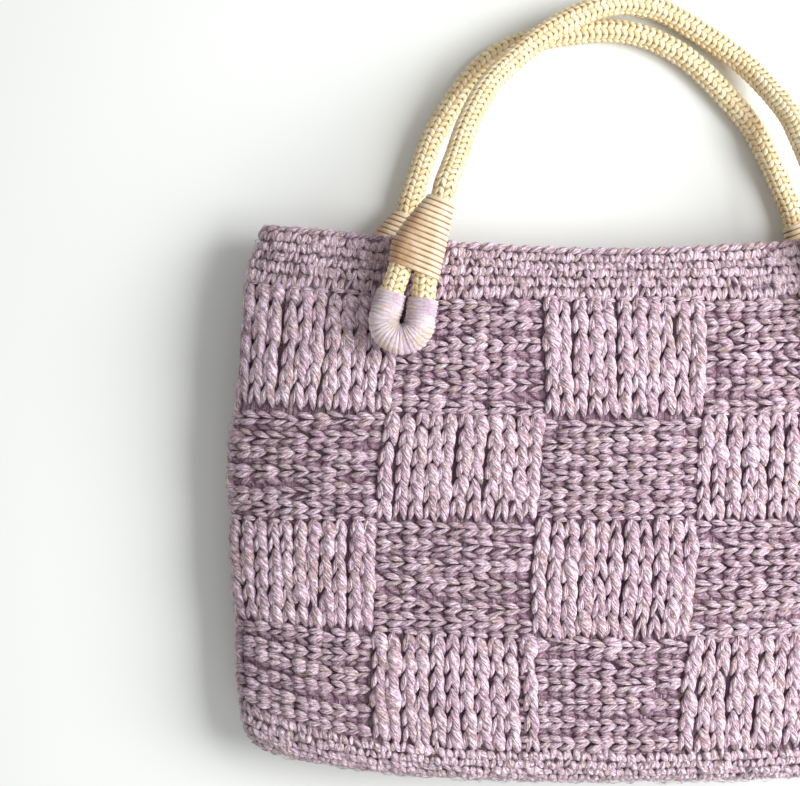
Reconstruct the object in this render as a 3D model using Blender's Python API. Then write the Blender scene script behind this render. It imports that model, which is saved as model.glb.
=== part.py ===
"""A knitted bag with two rope handles, lying on its back with the handles laid out above its rim.

Lengths are in metres. X runs across the bag, Y from its base to its rim, Z up from the floor.
The body is one hollow knitted shell of ribbed blocks. Each handle is a free arch of rope whose
ends pass through a lace binding, turn round an eye and are sewn to the bag by wound yarn.
"""

import math
from functools import lru_cache

import bmesh
import bpy
import numpy as np
from mathutils import Matrix, Vector
from mathutils.bvhtree import BVHTree
from mathutils.geometry import delaunay_2d_cdt

# Bag body
BAG_HALF_WIDTH = 0.187  # at the fullest row of blocks
BAG_HEIGHT = 0.254  # from the base's edge to the rim, in the middle
BAG_DEPTH = 0.0445  # front to back through the fullest part
WALL = 0.0062  # knitted wall between the ribs
MOUTH_GAP = 0.0135  # between the front and back lips
LIP_RISE = 0.0022  # rolled edge above the last round
BASE_CHAIN_INSET = 0.0118  # the base's middle chain is this much shorter at each end
FLOOR_PRESS = 0.0003  # how far the back's ribs are squashed flat by the floor, besides their puff
CORNER_DROOP = 0.0045  # the rim's back corners hang this much lower than its middle

# Ribbed blocks
BLOCKS_PER_SIDE = 5
BLOCK_ROWS = 4
UPRIGHT_RIBS = 11
LEVEL_RIBS = 6
UPRIGHT_RELIEF = 0.0023
LEVEL_RELIEF = 0.003
BLOCK_PUFF = 0.0013
RIB_END = 0.0032  # bare length between a rib's end and its block's border
FLAT_CREST = 0.4  # share of a pressed rib's pitch that lies flat on the floor

# Handles
ROPE_DIAMETER = 0.0115
YARN_WRAP = 0.0014
LACE = 0.0012
EYE_SLIT = 0.0019  # open width in the middle of an eye
LEG_GAP = 0.0006  # between the two legs in the binding
BINDING_START = 0.0243  # from the eye's middle to the binding's lower end
BINDING_LENGTH = 0.0375
TAIL_LENGTH = 0.0095  # of the cut end inside the binding
WRAP_RISE = 0.0125  # wound length above the eye's middle, on each leg
SEAT_GAP = 0.0003
FRONT_EYE_PITCH = math.radians(3.5)

ROPE_RADIUS = ROPE_DIAMETER / 2
WRAP_RADIUS = ROPE_RADIUS + SEAT_GAP + YARN_WRAP
EYE_BEND = WRAP_RADIUS + EYE_SLIT / 2
LEG_OFFSET = ROPE_RADIUS + LEG_GAP / 2
BINDING_RADIUS = ROPE_RADIUS + SEAT_GAP + LACE
TAPER_START = (TAIL_LENGTH + SEAT_GAP) / BINDING_LENGTH  # the binding narrows past the cut tail
WRAP_OFFSET = WRAP_RADIUS + SEAT_GAP / 2  # of each leg where its wound yarn ends
RIB_FOOT = min(UPRIGHT_RELIEF, LEVEL_RELIEF) - FLOOR_PRESS
BACK_LIFT = 2 * WRAP_RADIUS + 2 * SEAT_GAP + LEVEL_RELIEF - RIB_FOOT

# Levels from the base's middle chain to the rim. Heights are shares of BAG_HEIGHT in the bag's
# middle, one block in from the fold, and at the fold. Widths are shares of BAG_HALF_WIDTH,
# fullness of BAG_DEPTH less the mouth, and lift of BACK_LIFT.
LEVELS = (
    # level, middle, one_in, fold, width, fullness, lift
    (2.0, 0.063, 0.080, 0.153, 0.970, 0.86, 0.00),
    (2.5, 0.170, 0.185, 0.230, 0.976, 0.95, 0.00),
    (3.0, 0.281, 0.293, 0.308, 0.978, 1.00, 0.00),
    (3.5, 0.392, 0.398, 0.404, 0.987, 1.00, 0.00),
    (4.0, 0.505, 0.503, 0.501, 0.993, 0.95, 0.03),
    (4.5, 0.602, 0.606, 0.610, 1.000, 0.80, 0.28),
    (5.0, 0.700, 0.708, 0.719, 0.978, 0.60, 0.70),
    (5.4, 0.788, 0.795, 0.812, 0.964, 0.42, 0.97),
    (6.0, 0.915, 0.922, 0.952, 0.950, 0.18, 1.00),
    (7.0, 1.000, 1.022, 1.049, 0.915, 0.00, 1.00),
)
BASE_EDGE = (0.0, 0.013, 0.056)  # heights of the base's edge: middle, one block in, fold

# How far each upright border between front blocks leans from its even place, in blocks.
BORDER_SHIFTS = (
    # level, first, second, third, fourth
    (2.5, -0.10, -0.02, -0.08, -0.04),
    (3.5, -0.05, -0.04, 0.01, 0.02),
    (4.5, 0.00, 0.03, 0.02, 0.00),
    (5.5, 0.05, 0.01, 0.08, 0.04),
)

# Where each handle end is sewn on: across as a share of BAG_HALF_WIDTH, up as a share of
# BAG_HEIGHT, and how far its rope leans to the right.
HANDLE_ENDS = (
    # name, on_front, across, up, lean_degrees, tail_side
    ("front_left", True, -0.550, 0.872, 12.5, -1),
    ("front_right", True, 0.605, 0.872, -11.0, 1),
    ("back_left", False, -0.637, 0.862, 12.5, -1),
    ("back_right", False, 0.604, 0.844, -12.5, 1),
)

# Routes of the two free arches between their bindings, chosen by hand, in millimetres.
FRONT_ARCH_ROUTE = (
    # x, y, z
    (-77.0, 300.5, 47.0),
    (-71.5, 316.5, 41.0),
    (-62.5, 334.5, 33.5),
    (-51.0, 348.5, 26.5),
    (-27.5, 368.0, 19.5),
    (-2.0, 380.0, 15.0),
    (17.5, 381.0, 11.0),
    (34.0, 375.5, 8.5),
    (60.5, 358.5, 8.5),
    (74.0, 345.0, 13.5),
    (86.0, 326.0, 25.0),
    (90.5, 311.0, 35.0),
    (93.5, 297.5, 44.0),
)
BACK_ARCH_ROUTE = (
    (-91.0, 306.5, 6.4),
    (-84.5, 321.0, 6.2),
    (-66.5, 347.0, 6.0),
    (-46.5, 361.5, 6.0),
    (-15.0, 368.5, 6.0),
    (13.0, 368.0, 6.0),
    (40.0, 355.5, 6.0),
    (66.5, 329.0, 6.0),
    (78.0, 311.5, 6.2),
)

SECTION_STEPS = 96
GRID_SEGMENTS = 16
RINGS_OF_BASE = (0.0, 0.35, 0.8, 1.4)
INNER_LEVELS = (0.0, 0.5, 1.1, 2.0, 3.0, 4.0, 4.7, 5.4, 6.2)
RIM_RING = 6.5
LEVEL_RIB_STATIONS = (0.0, 0.5, 1.0)
FOLD_RIB_STATIONS = (0.0, 0.05, 0.13, 0.5, 0.87, 0.95, 1.0)
ROPE_POINT_STEP = 2.0  # rope diameters between the points of a free arch
ARCH_SIDES_RESOLUTION = 3
EYE_SIDES = 10
BEND_STEPS = 6
SEAT_SAMPLES = 5
BINDING_SIDES = 16
TAPER_STEPS = 4

COLOURS = {
    "yarn": (0.58, 0.45, 0.58, 1.0),
    "rope": (0.86, 0.75, 0.52, 1.0),
    "lace": (0.74, 0.52, 0.34, 1.0),
}


def smooth_column(rows, column, place):
    """Reads one column of a table at any place of its first column, through a smooth curve."""
    keys = [row[0] for row in rows]
    values = [row[column] for row in rows]
    if place <= keys[0]:
        return values[0]
    if place >= keys[-1]:
        return values[-1]
    i = max(k for k in range(len(keys) - 1) if keys[k] <= place)
    span = keys[i + 1] - keys[i]
    t = (place - keys[i]) / span

    def slope(k):
        if k in (0, len(keys) - 1):
            return (values[i + 1] - values[i]) / span
        return (values[k + 1] - values[k - 1]) / (keys[k + 1] - keys[k - 1])

    start, end = slope(i) * span, slope(i + 1) * span
    return (
        (2 * t**3 - 3 * t**2 + 1) * values[i]
        + (t**3 - 2 * t**2 + t) * start
        + (3 * t**2 - 2 * t**3) * values[i + 1]
        + (t**3 - t**2) * end
    )


def across_curve(middle, one_in, fold, across):
    """A height at any share across the bag, from its three stated heights."""
    inner = 1 - 2 / BLOCKS_PER_SIDE
    rise_in, rise_fold = one_in - middle, fold - middle
    quartic = (rise_fold * inner**2 - rise_in) / (inner**2 - inner**4)
    return middle + (rise_fold - quartic) * across**2 + quartic * across**4


def base_turn(level):
    """How far the wall has turned out of the base: 0 at the middle chain, 1 on the upright wall."""
    return min(level / LEVELS[0][0], 1.0) * math.pi / 2


@lru_cache(maxsize=None)
def section(level, inset):
    """Half widths, heights and even spacing of the front and back half sections at one level."""
    turn = base_turn(level)
    foot = max(level, LEVELS[0][0])
    mouth = 2 * WALL + MOUTH_GAP
    lift = smooth_column(LEVELS, 6, foot) * BACK_LIFT
    width = smooth_column(LEVELS, 4, foot) * BAG_HALF_WIDTH
    depth = mouth + smooth_column(LEVELS, 5, foot) * (BAG_DEPTH - mouth)
    width -= BASE_CHAIN_INSET * (1 - math.sin(turn)) + inset
    low = RIB_FOOT + lift
    fold = low + 0.46 * depth
    swell = math.sin(turn) ** 0.7
    front = (low + depth - inset - fold) * swell
    back = (fold - low - inset) * swell
    angle = np.linspace(0.0, math.pi, SECTION_STEPS + 1)
    across = -np.cos(angle)
    reach = np.abs(across)
    drop = CORNER_DROOP * np.clip((reach - 0.8) / 0.2, 0, 1) ** 2 * lift / BACK_LIFT
    halves = []
    for height, share in (
        (front, np.clip(1 - reach**3.0, 0, 1) ** (1 / 2.2)),
        (-back, np.clip(1 - reach**6.0, 0, 1) ** (1 / 3.0)),
    ):
        z = fold + height * share - drop
        steps = np.hypot(np.diff(across * width), 0.4 * np.diff(z))
        length = np.concatenate(([0.0], np.cumsum(steps)))
        halves.append((across, z, length / length[-1]))
    return width, halves[0], halves[1]


def shifted(around, level):
    """Moves a place on the front sideways with the leaning borders between blocks."""
    if not 0 < around < BLOCKS_PER_SIDE:
        return around
    on_wall = math.sin(base_turn(level))
    shifts = [smooth_column(BORDER_SHIFTS, k, level) * on_wall for k in range(1, BLOCKS_PER_SIDE)]
    borders = range(BLOCKS_PER_SIDE + 1)
    return around + float(np.interp(around, borders, [0.0, *shifts, 0.0]))


def shell_point(around, level, inset=0.0, rise=0.0):
    """A point on the shell: around counts blocks from the left fold, across the front and back."""
    width, front, back = section(round(level, 6), inset)
    on_front = around <= BLOCKS_PER_SIDE
    across, z, share = front if on_front else back
    place = shifted(around, level) if on_front else 2 * BLOCKS_PER_SIDE - around
    reach = float(np.interp(place / BLOCKS_PER_SIDE, share, across))
    height = float(np.interp(reach, across, z))
    turn = base_turn(level)
    foot = max(level, LEVELS[0][0])
    up = across_curve(*(smooth_column(LEVELS, k, foot) for k in (1, 2, 3)), reach) * BAG_HEIGHT
    edge = across_curve(*BASE_EDGE, reach) * BAG_HEIGHT
    up = edge + (up - edge) * (1 - math.cos(turn)) + inset * math.cos(turn)
    return Vector((reach * width, up + rise, height))


def raised_point(around, level, relief):
    """A point of the outer surface, moved out along the surface's normal and kept off the floor."""
    point = shell_point(around, level)
    if relief:
        step = 0.01
        ends = 2 * BLOCKS_PER_SIDE
        along = shell_point(min(around + step, ends), level) - shell_point(max(around - step, 0), level)
        upward = shell_point(around, level + step) - shell_point(around, level - step)
        point += along.cross(upward).normalized() * relief
    point.z = max(point.z, 0.0)
    return point


def fold_spaced(count):
    """Places around the bag from 0 to twice the blocks of a side, closer together at the folds."""
    half = [0.5 - 0.5 * math.cos(math.pi * k / count) for k in range(count + 1)]
    front = [share * BLOCKS_PER_SIDE for share in half]
    return front + [BLOCKS_PER_SIDE + place for place in front[1:]]


class FlatPattern:
    """The knitted wall laid out flat, as points and creases that are then wrapped round the bag."""

    def __init__(self):
        self.places = []
        self.reliefs = []
        self.found = {}
        self.creases = set()

    def point(self, around, level, relief=0.0):
        """Adds a point once and returns its number."""
        key = (round(around, 5), round(level, 5))
        if key not in self.found:
            self.found[key] = len(self.places)
            self.places.append(key)
            self.reliefs.append(relief)
        return self.found[key]

    def crease(self, points):
        """Joins the given (around, level, relief) points with edges that the surface keeps."""
        numbers = [self.point(*entry) for entry in points]
        for first, second in zip(numbers, numbers[1:]):
            if first != second:
                self.creases.add((min(first, second), max(first, second)))


def is_upright(column, row):
    """Blocks alternate round the bag and up it; the top left front block has upright ribs."""
    return (column + row) % 2 == 1


def add_block(pattern, column, row):
    """Adds one block's borders, rib crests and the valleys between its ribs."""
    level = LEVELS[0][0] + row
    on_back = column >= BLOCKS_PER_SIDE
    block_width = 2 * BAG_HALF_WIDTH / BLOCKS_PER_SIDE
    block_height = BAG_HEIGHT * (LEVELS[-2][1] - LEVELS[0][1]) / BLOCK_ROWS
    by_fold = column % BLOCKS_PER_SIDE in (0, BLOCKS_PER_SIDE - 1)

    def entry(a, b, relief=0.0):
        puff = BLOCK_PUFF * math.sin(math.pi * a) * math.sin(math.pi * b) if relief else 0.0
        return (column + a, level + b, relief + puff)

    for side in (0.0, 1.0):
        pattern.crease([entry(side, k / LEVEL_RIBS) for k in range(LEVEL_RIBS + 1)])
    if is_upright(column, row):
        end = RIB_END / block_height
        for side in (0.0, 1.0):
            pattern.crease([entry(k / UPRIGHT_RIBS, side) for k in range(UPRIGHT_RIBS + 1)])
        for k in range(1, UPRIGHT_RIBS):
            pattern.crease([entry(k / UPRIGHT_RIBS, b) for b in (0.0, 0.5, 1.0)])
        flat = FLAT_CREST / 2 if on_back else 0.0
        for k in range(UPRIGHT_RIBS):
            for side in (-flat, flat) if on_back else (0.0,):
                a = (k + 0.5 + side) / UPRIGHT_RIBS
                pattern.crease([entry(a, b, UPRIGHT_RELIEF) for b in (end, 0.5, 1 - end)])
    else:
        end = RIB_END / block_width
        stations = FOLD_RIB_STATIONS if by_fold else LEVEL_RIB_STATIONS
        for k in range(LEVEL_RIBS + 1):
            pattern.crease([entry(a, k / LEVEL_RIBS) for a in stations])
        for k in range(LEVEL_RIBS):
            b = (k + 0.5) / LEVEL_RIBS
            ends = [min(max(a, end), 1 - end) for a in stations]
            pattern.crease([entry(a, b, LEVEL_RELIEF) for a in ends])


def flat_pattern():
    """The whole outer wall: base rings, four rows of blocks and the plain rim."""
    pattern = FlatPattern()
    columns = fold_spaced(GRID_SEGMENTS)
    for level in (*RINGS_OF_BASE, RIM_RING, LEVELS[-1][0]):
        pattern.crease([(around, level, 0.0) for around in columns])
    for column in range(2 * BLOCKS_PER_SIDE):
        for row in range(BLOCK_ROWS):
            add_block(pattern, column, row)
    return pattern


def wrapped_wall(mesh, pattern):
    """Triangulates the flat pattern and wraps it round the bag as the outer surface."""
    block_width = 2 * BAG_HALF_WIDTH / BLOCKS_PER_SIDE
    row_height = BAG_HEIGHT / (LEVELS[-1][0] - LEVELS[0][0])
    flat = [Vector((around * block_width, level * row_height)) for around, level in pattern.places]
    _, _, faces, origins, _, _ = delaunay_2d_cdt(flat, sorted(pattern.creases), [], 0, 1e-6)
    corners = []
    for origin in origins:
        number = origin[0]
        around, level = pattern.places[number]
        corners.append(mesh.verts.new(raised_point(around, level, pattern.reliefs[number])))
    for face in faces:
        mesh.faces.new([corners[k] for k in face])


def ring(mesh, level, inset, rise=0.0):
    """One ring of points round the bag."""
    return [mesh.verts.new(shell_point(a, level, inset, rise)) for a in fold_spaced(GRID_SEGMENTS)]


def bag_shell():
    """The hollow body: ribbed outer wall, rolled lip and plain inner wall down to the base."""
    mesh = bmesh.new()
    wrapped_wall(mesh, flat_pattern())
    rim = LEVELS[-1][0]
    rings = [
        ring(mesh, rim, 0.0),
        ring(mesh, rim, 0.22 * WALL, LIP_RISE),
        ring(mesh, rim, 0.78 * WALL, LIP_RISE),
        ring(mesh, rim, WALL),
    ]
    rings += [ring(mesh, level, WALL) for level in reversed(INNER_LEVELS)]
    for lower, upper in zip(rings, rings[1:]):
        for k in range(len(lower) - 1):
            mesh.faces.new((lower[k], lower[k + 1], upper[k + 1], upper[k]))
    bmesh.ops.remove_doubles(mesh, verts=mesh.verts[:], dist=2e-6)
    bmesh.ops.dissolve_degenerate(mesh, edges=mesh.edges[:], dist=1e-6)
    bmesh.ops.triangulate(mesh, faces=mesh.faces[:])
    bmesh.ops.recalc_face_normals(mesh, faces=mesh.faces[:])
    return mesh


class HandleEnd:
    """One sewn-on handle end: eye, wound yarn and binding, lying flat on or under the bag."""

    def __init__(self, name, on_front, across, up, lean_degrees, tail_side):
        self.name = name
        self.on_front = on_front
        self.middle = Vector((across * BAG_HALF_WIDTH, up * BAG_HEIGHT, 0.0))
        lean = math.radians(lean_degrees)
        self.along = Vector((math.sin(lean), math.cos(lean), 0.0))
        self.side = Vector((math.cos(lean), -math.sin(lean), 0.0)) * -tail_side
        self.pitch = math.tan(FRONT_EYE_PITCH) if on_front else 0.0
        self.height = 0.0

    def place(self, h, v, z=0.0):
        """Turns a place across and along the handle end into the bag's own frame."""
        point = self.middle + self.side * h + self.along * v
        point.z = self.height - self.pitch * v + z
        return point

    def leg_offset(self, v):
        """Distance of each leg from the middle line: wide at the eye, close in the binding."""
        stations = (0.0, WRAP_RISE, BINDING_START)
        return float(np.interp(v, stations, (EYE_BEND, WRAP_OFFSET, LEG_OFFSET)))

    def route(self, start, end):
        """Centre line from start on the standing leg, round the eye, to end on the tail leg."""
        stations = (WRAP_RISE, (WRAP_RISE + BINDING_START) / 2, BINDING_START)
        down = [start, *(v for v in reversed(stations) if v < start)]
        up = [*(v for v in stations if v < end), end]
        bend = [math.pi * k / BEND_STEPS for k in range(BEND_STEPS + 1)]
        flat = [(self.leg_offset(v), v) for v in down]
        flat += [(EYE_BEND * math.cos(a), -EYE_BEND * math.sin(a)) for a in bend]
        flat += [(-self.leg_offset(v), v) for v in up]
        return flat

    def seat(self, surface):
        """Lays the end on the front panel, or on the floor under the back panel."""
        loop = self.route(WRAP_RISE, WRAP_RISE)
        footprint = []
        for (h, v), (next_h, next_v) in zip(loop, loop[1:]):
            steps = [k / SEAT_SAMPLES for k in range(SEAT_SAMPLES + 1)]
            footprint += [(h + (next_h - h) * s, v + (next_v - v) * s, WRAP_RADIUS) for s in steps]
        for k in range(4 * SEAT_SAMPLES + 1):
            v = BINDING_START + BINDING_LENGTH * k / (4 * SEAT_SAMPLES)
            footprint += [(h, v, BINDING_RADIUS) for h in (-LEG_OFFSET, 0.0, LEG_OFFSET)]
        grid = np.linspace(-0.96, 0.96, 2 * SEAT_SAMPLES + 1)
        disc = [(a, b) for a in grid for b in grid if a * a + b * b < 1]
        heights = []
        for h, v, radius in footprint:
            for a, b in disc:
                place = self.place(h + radius * a, v + radius * b)
                bulge = radius * math.sqrt(1 - a * a - b * b)
                found = self.surface_height(surface, place)
                if found is not None:
                    wanted = found + bulge if self.on_front else found - bulge
                    heights.append(wanted + self.pitch * v)
        self.height = max(heights) + SEAT_GAP if self.on_front else min(heights) - SEAT_GAP

    def surface_height(self, surface, place):
        """Height of the bag's front above a place, or of its back's underside."""
        far = 1.0
        start = Vector((place.x, place.y, far if self.on_front else -far))
        hit, _, _, _ = surface.ray_cast(start, Vector((0, 0, -1 if self.on_front else 1)))
        return None if hit is None else hit.z

    def arch_start(self):
        """Where the free arch leaves the binding, and the direction in which it leaves."""
        top = BINDING_START + BINDING_LENGTH
        tip = self.place(LEG_OFFSET, top)
        direction = (tip - self.place(LEG_OFFSET, top - LACE)).normalized()
        return tip + direction * SEAT_GAP, direction


def tube(points, radius, sides, mesh=None, closed_ends=True):
    """Sweeps a circle along points and returns the mesh and its rings of vertices."""
    mesh = mesh or bmesh.new()
    rings = []
    for k, point in enumerate(points):
        ahead = points[min(k + 1, len(points) - 1)] - point
        behind = point - points[max(k - 1, 0)]
        tangent = (ahead.normalized() + behind.normalized()).normalized()
        across = tangent.cross(Vector((0, 0, 1))).normalized()
        upward = across.cross(tangent).normalized()
        angles = [2 * math.pi * s / sides for s in range(sides)]
        spokes = [across * math.cos(a) + upward * math.sin(a) for a in angles]
        rings.append([mesh.verts.new(point + radius * spoke) for spoke in spokes])
    for lower, upper in zip(rings, rings[1:]):
        for s in range(sides):
            n = (s + 1) % sides
            mesh.faces.new((lower[s], lower[n], upper[n], upper[s]))
    if closed_ends:
        mesh.faces.new(rings[0])
        mesh.faces.new(rings[-1])
    bmesh.ops.recalc_face_normals(mesh, faces=mesh.faces[:])
    return mesh, rings


def eye_rope(end):
    """The rope's end: down through the binding, round the eye and back up to its cut tail."""
    top = BINDING_START + BINDING_LENGTH
    flat = end.route(top, BINDING_START + TAIL_LENGTH)
    mesh, _ = tube([end.place(h, v) for h, v in flat], ROPE_RADIUS, EYE_SIDES)
    return mesh


def eye_wrap(end):
    """The yarn wound round the bend, a thin sleeve a small gap clear of the rope."""
    points = [end.place(h, v) for h, v in end.route(WRAP_RISE, WRAP_RISE)]
    mesh, outer = tube(points, WRAP_RADIUS, EYE_SIDES, closed_ends=False)
    mesh, inner = tube(points, ROPE_RADIUS + SEAT_GAP, EYE_SIDES, mesh, closed_ends=False)
    for k in (0, -1):
        for s in range(EYE_SIDES):
            n = (s + 1) % EYE_SIDES
            mesh.faces.new((outer[k][s], outer[k][n], inner[k][n], inner[k][s]))
    bmesh.ops.recalc_face_normals(mesh, faces=mesh.faces[:])
    return mesh


def binding_ring(mesh, end, share, wall):
    """One oval ring of the binding, wide over both legs and narrowing to the standing leg."""
    v = BINDING_START + BINDING_LENGTH * share
    radius = ROPE_RADIUS + SEAT_GAP + wall
    taper = max(0.0, (share - TAPER_START) / (1 - TAPER_START)) ** 1.3
    low_side = -LEG_OFFSET + 2 * LEG_OFFSET * taper
    ring_points = []
    for s in range(BINDING_SIDES):
        angle = 2 * math.pi * s / BINDING_SIDES
        middle = LEG_OFFSET if math.cos(angle) > 0 else low_side
        h = middle + radius * math.cos(angle)
        ring_points.append(mesh.verts.new(end.place(h, v, radius * math.sin(angle))))
    return ring_points


def binding(end):
    """The lace binding: a tapered oval sleeve round both legs of the rope."""
    mesh = bmesh.new()
    shares = [0.0] + [TAPER_START + (1 - TAPER_START) * k / TAPER_STEPS for k in range(TAPER_STEPS + 1)]
    outer = [binding_ring(mesh, end, share, LACE) for share in shares]
    inner = [binding_ring(mesh, end, share, 0.0) for share in reversed(shares)]
    rings = outer + inner + [outer[0]]
    for lower, upper in zip(rings, rings[1:]):
        for s in range(BINDING_SIDES):
            n = (s + 1) % BINDING_SIDES
            mesh.faces.new((lower[s], lower[n], upper[n], upper[s]))
    bmesh.ops.recalc_face_normals(mesh, faces=mesh.faces[:])
    return mesh


def smooth_route(points):
    """Evenly spaced points on a smooth curve through the route's own points."""
    ends = [points[0] * 2 - points[1], *points, points[-1] * 2 - points[-2]]
    fine = []
    for a, b, c, d in zip(ends, ends[1:], ends[2:], ends[3:]):
        for k in range(24):
            t = k / 24
            fine.append(
                0.5
                * (
                    2 * b
                    + (c - a) * t
                    + (2 * a - 5 * b + 4 * c - d) * t**2
                    + (3 * b - a - 3 * c + d) * t**3
                )
            )
    fine.append(points[-1])
    length = [0.0]
    for first, second in zip(fine, fine[1:]):
        length.append(length[-1] + (second - first).length)
    count = max(round(length[-1] / (ROPE_POINT_STEP * ROPE_DIAMETER)), 8)
    places = np.linspace(0.0, length[-1], count + 1)
    columns = [np.interp(places, length, [point[k] for point in fine]) for k in range(3)]
    return [Vector(values) for values in zip(*columns)]


def arch_curve(name, route, left, right):
    """A free arch of rope from the top of one binding to the top of the other."""
    start, leaving = left.arch_start()
    finish, arriving = right.arch_start()
    inner = [Vector(point) * 0.001 for point in route]
    lead = ROPE_RADIUS
    begun, ended = start + leaving * lead, finish + arriving * lead
    points = [start, *smooth_route([begun, *inner, ended]), finish]
    curve = bpy.data.curves.new(name, "CURVE")
    curve.dimensions = "3D"
    curve.bevel_depth = ROPE_RADIUS
    curve.bevel_resolution = ARCH_SIDES_RESOLUTION
    curve.use_fill_caps = True
    spline = curve.splines.new("POLY")
    spline.points.add(len(points) - 1)
    for target, point in zip(spline.points, points):
        target.co = (*point, 1.0)
    return curve


def material(name, roughness):
    """A plain material in the piece's colour."""
    made = bpy.data.materials.new(name)
    made.use_nodes = True
    shader = made.node_tree.nodes["Principled BSDF"]
    shader.inputs["Base Color"].default_value = COLOURS[name]
    shader.inputs["Roughness"].default_value = roughness
    shader.inputs["Metallic"].default_value = 0.0
    made.diffuse_color = COLOURS[name]
    return made


def add_object(name, data, finish):
    """Puts a mesh or a curve in the scene under its own name."""
    if isinstance(data, bmesh.types.BMesh):
        built = bpy.data.meshes.new(name)
        data.to_mesh(built)
        data.free()
        built.shade_smooth()
        built.set_sharp_from_angle(angle=math.radians(50))
        data = built
    data.materials.append(finish)
    made = bpy.data.objects.new(name, data)
    bpy.context.collection.objects.link(made)
    return made


def centre_on_floor(carried, everything):
    """Moves the object so that the origin is under the middle of the bag and its handle ends."""
    corners = [vertex.co for made in carried for vertex in made.data.vertices]
    low = Vector([min(corner[k] for corner in corners) for k in range(3)])
    high = Vector([max(corner[k] for corner in corners) for k in range(3)])
    middle = (low + high) / 2
    move = Matrix.Translation((-middle.x, -middle.y, 0.0))
    for made in everything:
        made.data.transform(move)


def main():
    """Builds the bag, its four handle ends and its two arches."""
    for old in list(bpy.data.objects):
        bpy.data.objects.remove(old, do_unlink=True)
    yarn = material("yarn", 0.85)
    rope = material("rope", 0.7)
    lace = material("lace", 0.5)
    shell = bag_shell()
    surface = BVHTree.FromBMesh(shell)
    carried = [add_object("bag_shell", shell, yarn)]
    ends = {}
    for row in HANDLE_ENDS:
        end = HandleEnd(*row)
        end.seat(surface)
        ends[end.name] = end
        carried.append(add_object(f"{end.name}_eye_rope", eye_rope(end), rope))
        carried.append(add_object(f"{end.name}_eye_wrap", eye_wrap(end), yarn))
        carried.append(add_object(f"{end.name}_binding", binding(end), lace))
    arches = []
    for side, route in (("front", FRONT_ARCH_ROUTE), ("back", BACK_ARCH_ROUTE)):
        name = f"{side}_handle_rope"
        curve = arch_curve(name, route, ends[f"{side}_left"], ends[f"{side}_right"])
        arches.append(add_object(name, curve, rope))
    centre_on_floor(carried, carried + arches)


main()
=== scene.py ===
"""A knitted bag lying on its back: yarn stitches, braided rope handles, wound eyes and lace bindings.

Lengths are in metres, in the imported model's own frame: X across the bag, Y from its base to its rim,
Z up from the floor. Every stitch is a plump strand of yarn laid on the knitted wall.
"""

import logging
import math
from abc import ABC, abstractmethod
from collections.abc import Callable
from dataclasses import dataclass, field
from enum import Enum

import bmesh
import bpy
import numpy as np
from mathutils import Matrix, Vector


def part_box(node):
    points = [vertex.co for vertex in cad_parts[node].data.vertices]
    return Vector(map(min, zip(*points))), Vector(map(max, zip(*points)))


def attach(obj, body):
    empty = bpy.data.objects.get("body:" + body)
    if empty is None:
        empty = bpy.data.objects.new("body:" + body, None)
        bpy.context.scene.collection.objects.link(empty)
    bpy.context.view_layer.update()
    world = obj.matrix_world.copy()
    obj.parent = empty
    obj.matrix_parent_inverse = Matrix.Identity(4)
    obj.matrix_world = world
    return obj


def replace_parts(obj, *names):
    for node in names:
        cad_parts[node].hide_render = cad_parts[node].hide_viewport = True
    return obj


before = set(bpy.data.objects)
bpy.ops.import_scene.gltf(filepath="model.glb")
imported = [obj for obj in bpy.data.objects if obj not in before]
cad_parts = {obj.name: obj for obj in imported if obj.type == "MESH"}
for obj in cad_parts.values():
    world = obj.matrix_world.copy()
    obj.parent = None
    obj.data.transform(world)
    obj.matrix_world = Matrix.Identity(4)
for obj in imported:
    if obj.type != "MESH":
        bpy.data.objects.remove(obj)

log = logging.getLogger("knitted_bag")
MM = 0.001
FLOOR_CLEARANCE = 0.0003

Socket = bpy.types.NodeSocket
Places = Callable[[np.ndarray, np.ndarray], tuple[np.ndarray, np.ndarray, np.ndarray]]


class Way(Enum):
    """Which way a block's ribs run."""

    UPRIGHT = "upright"
    LEVEL = "level"


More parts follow.
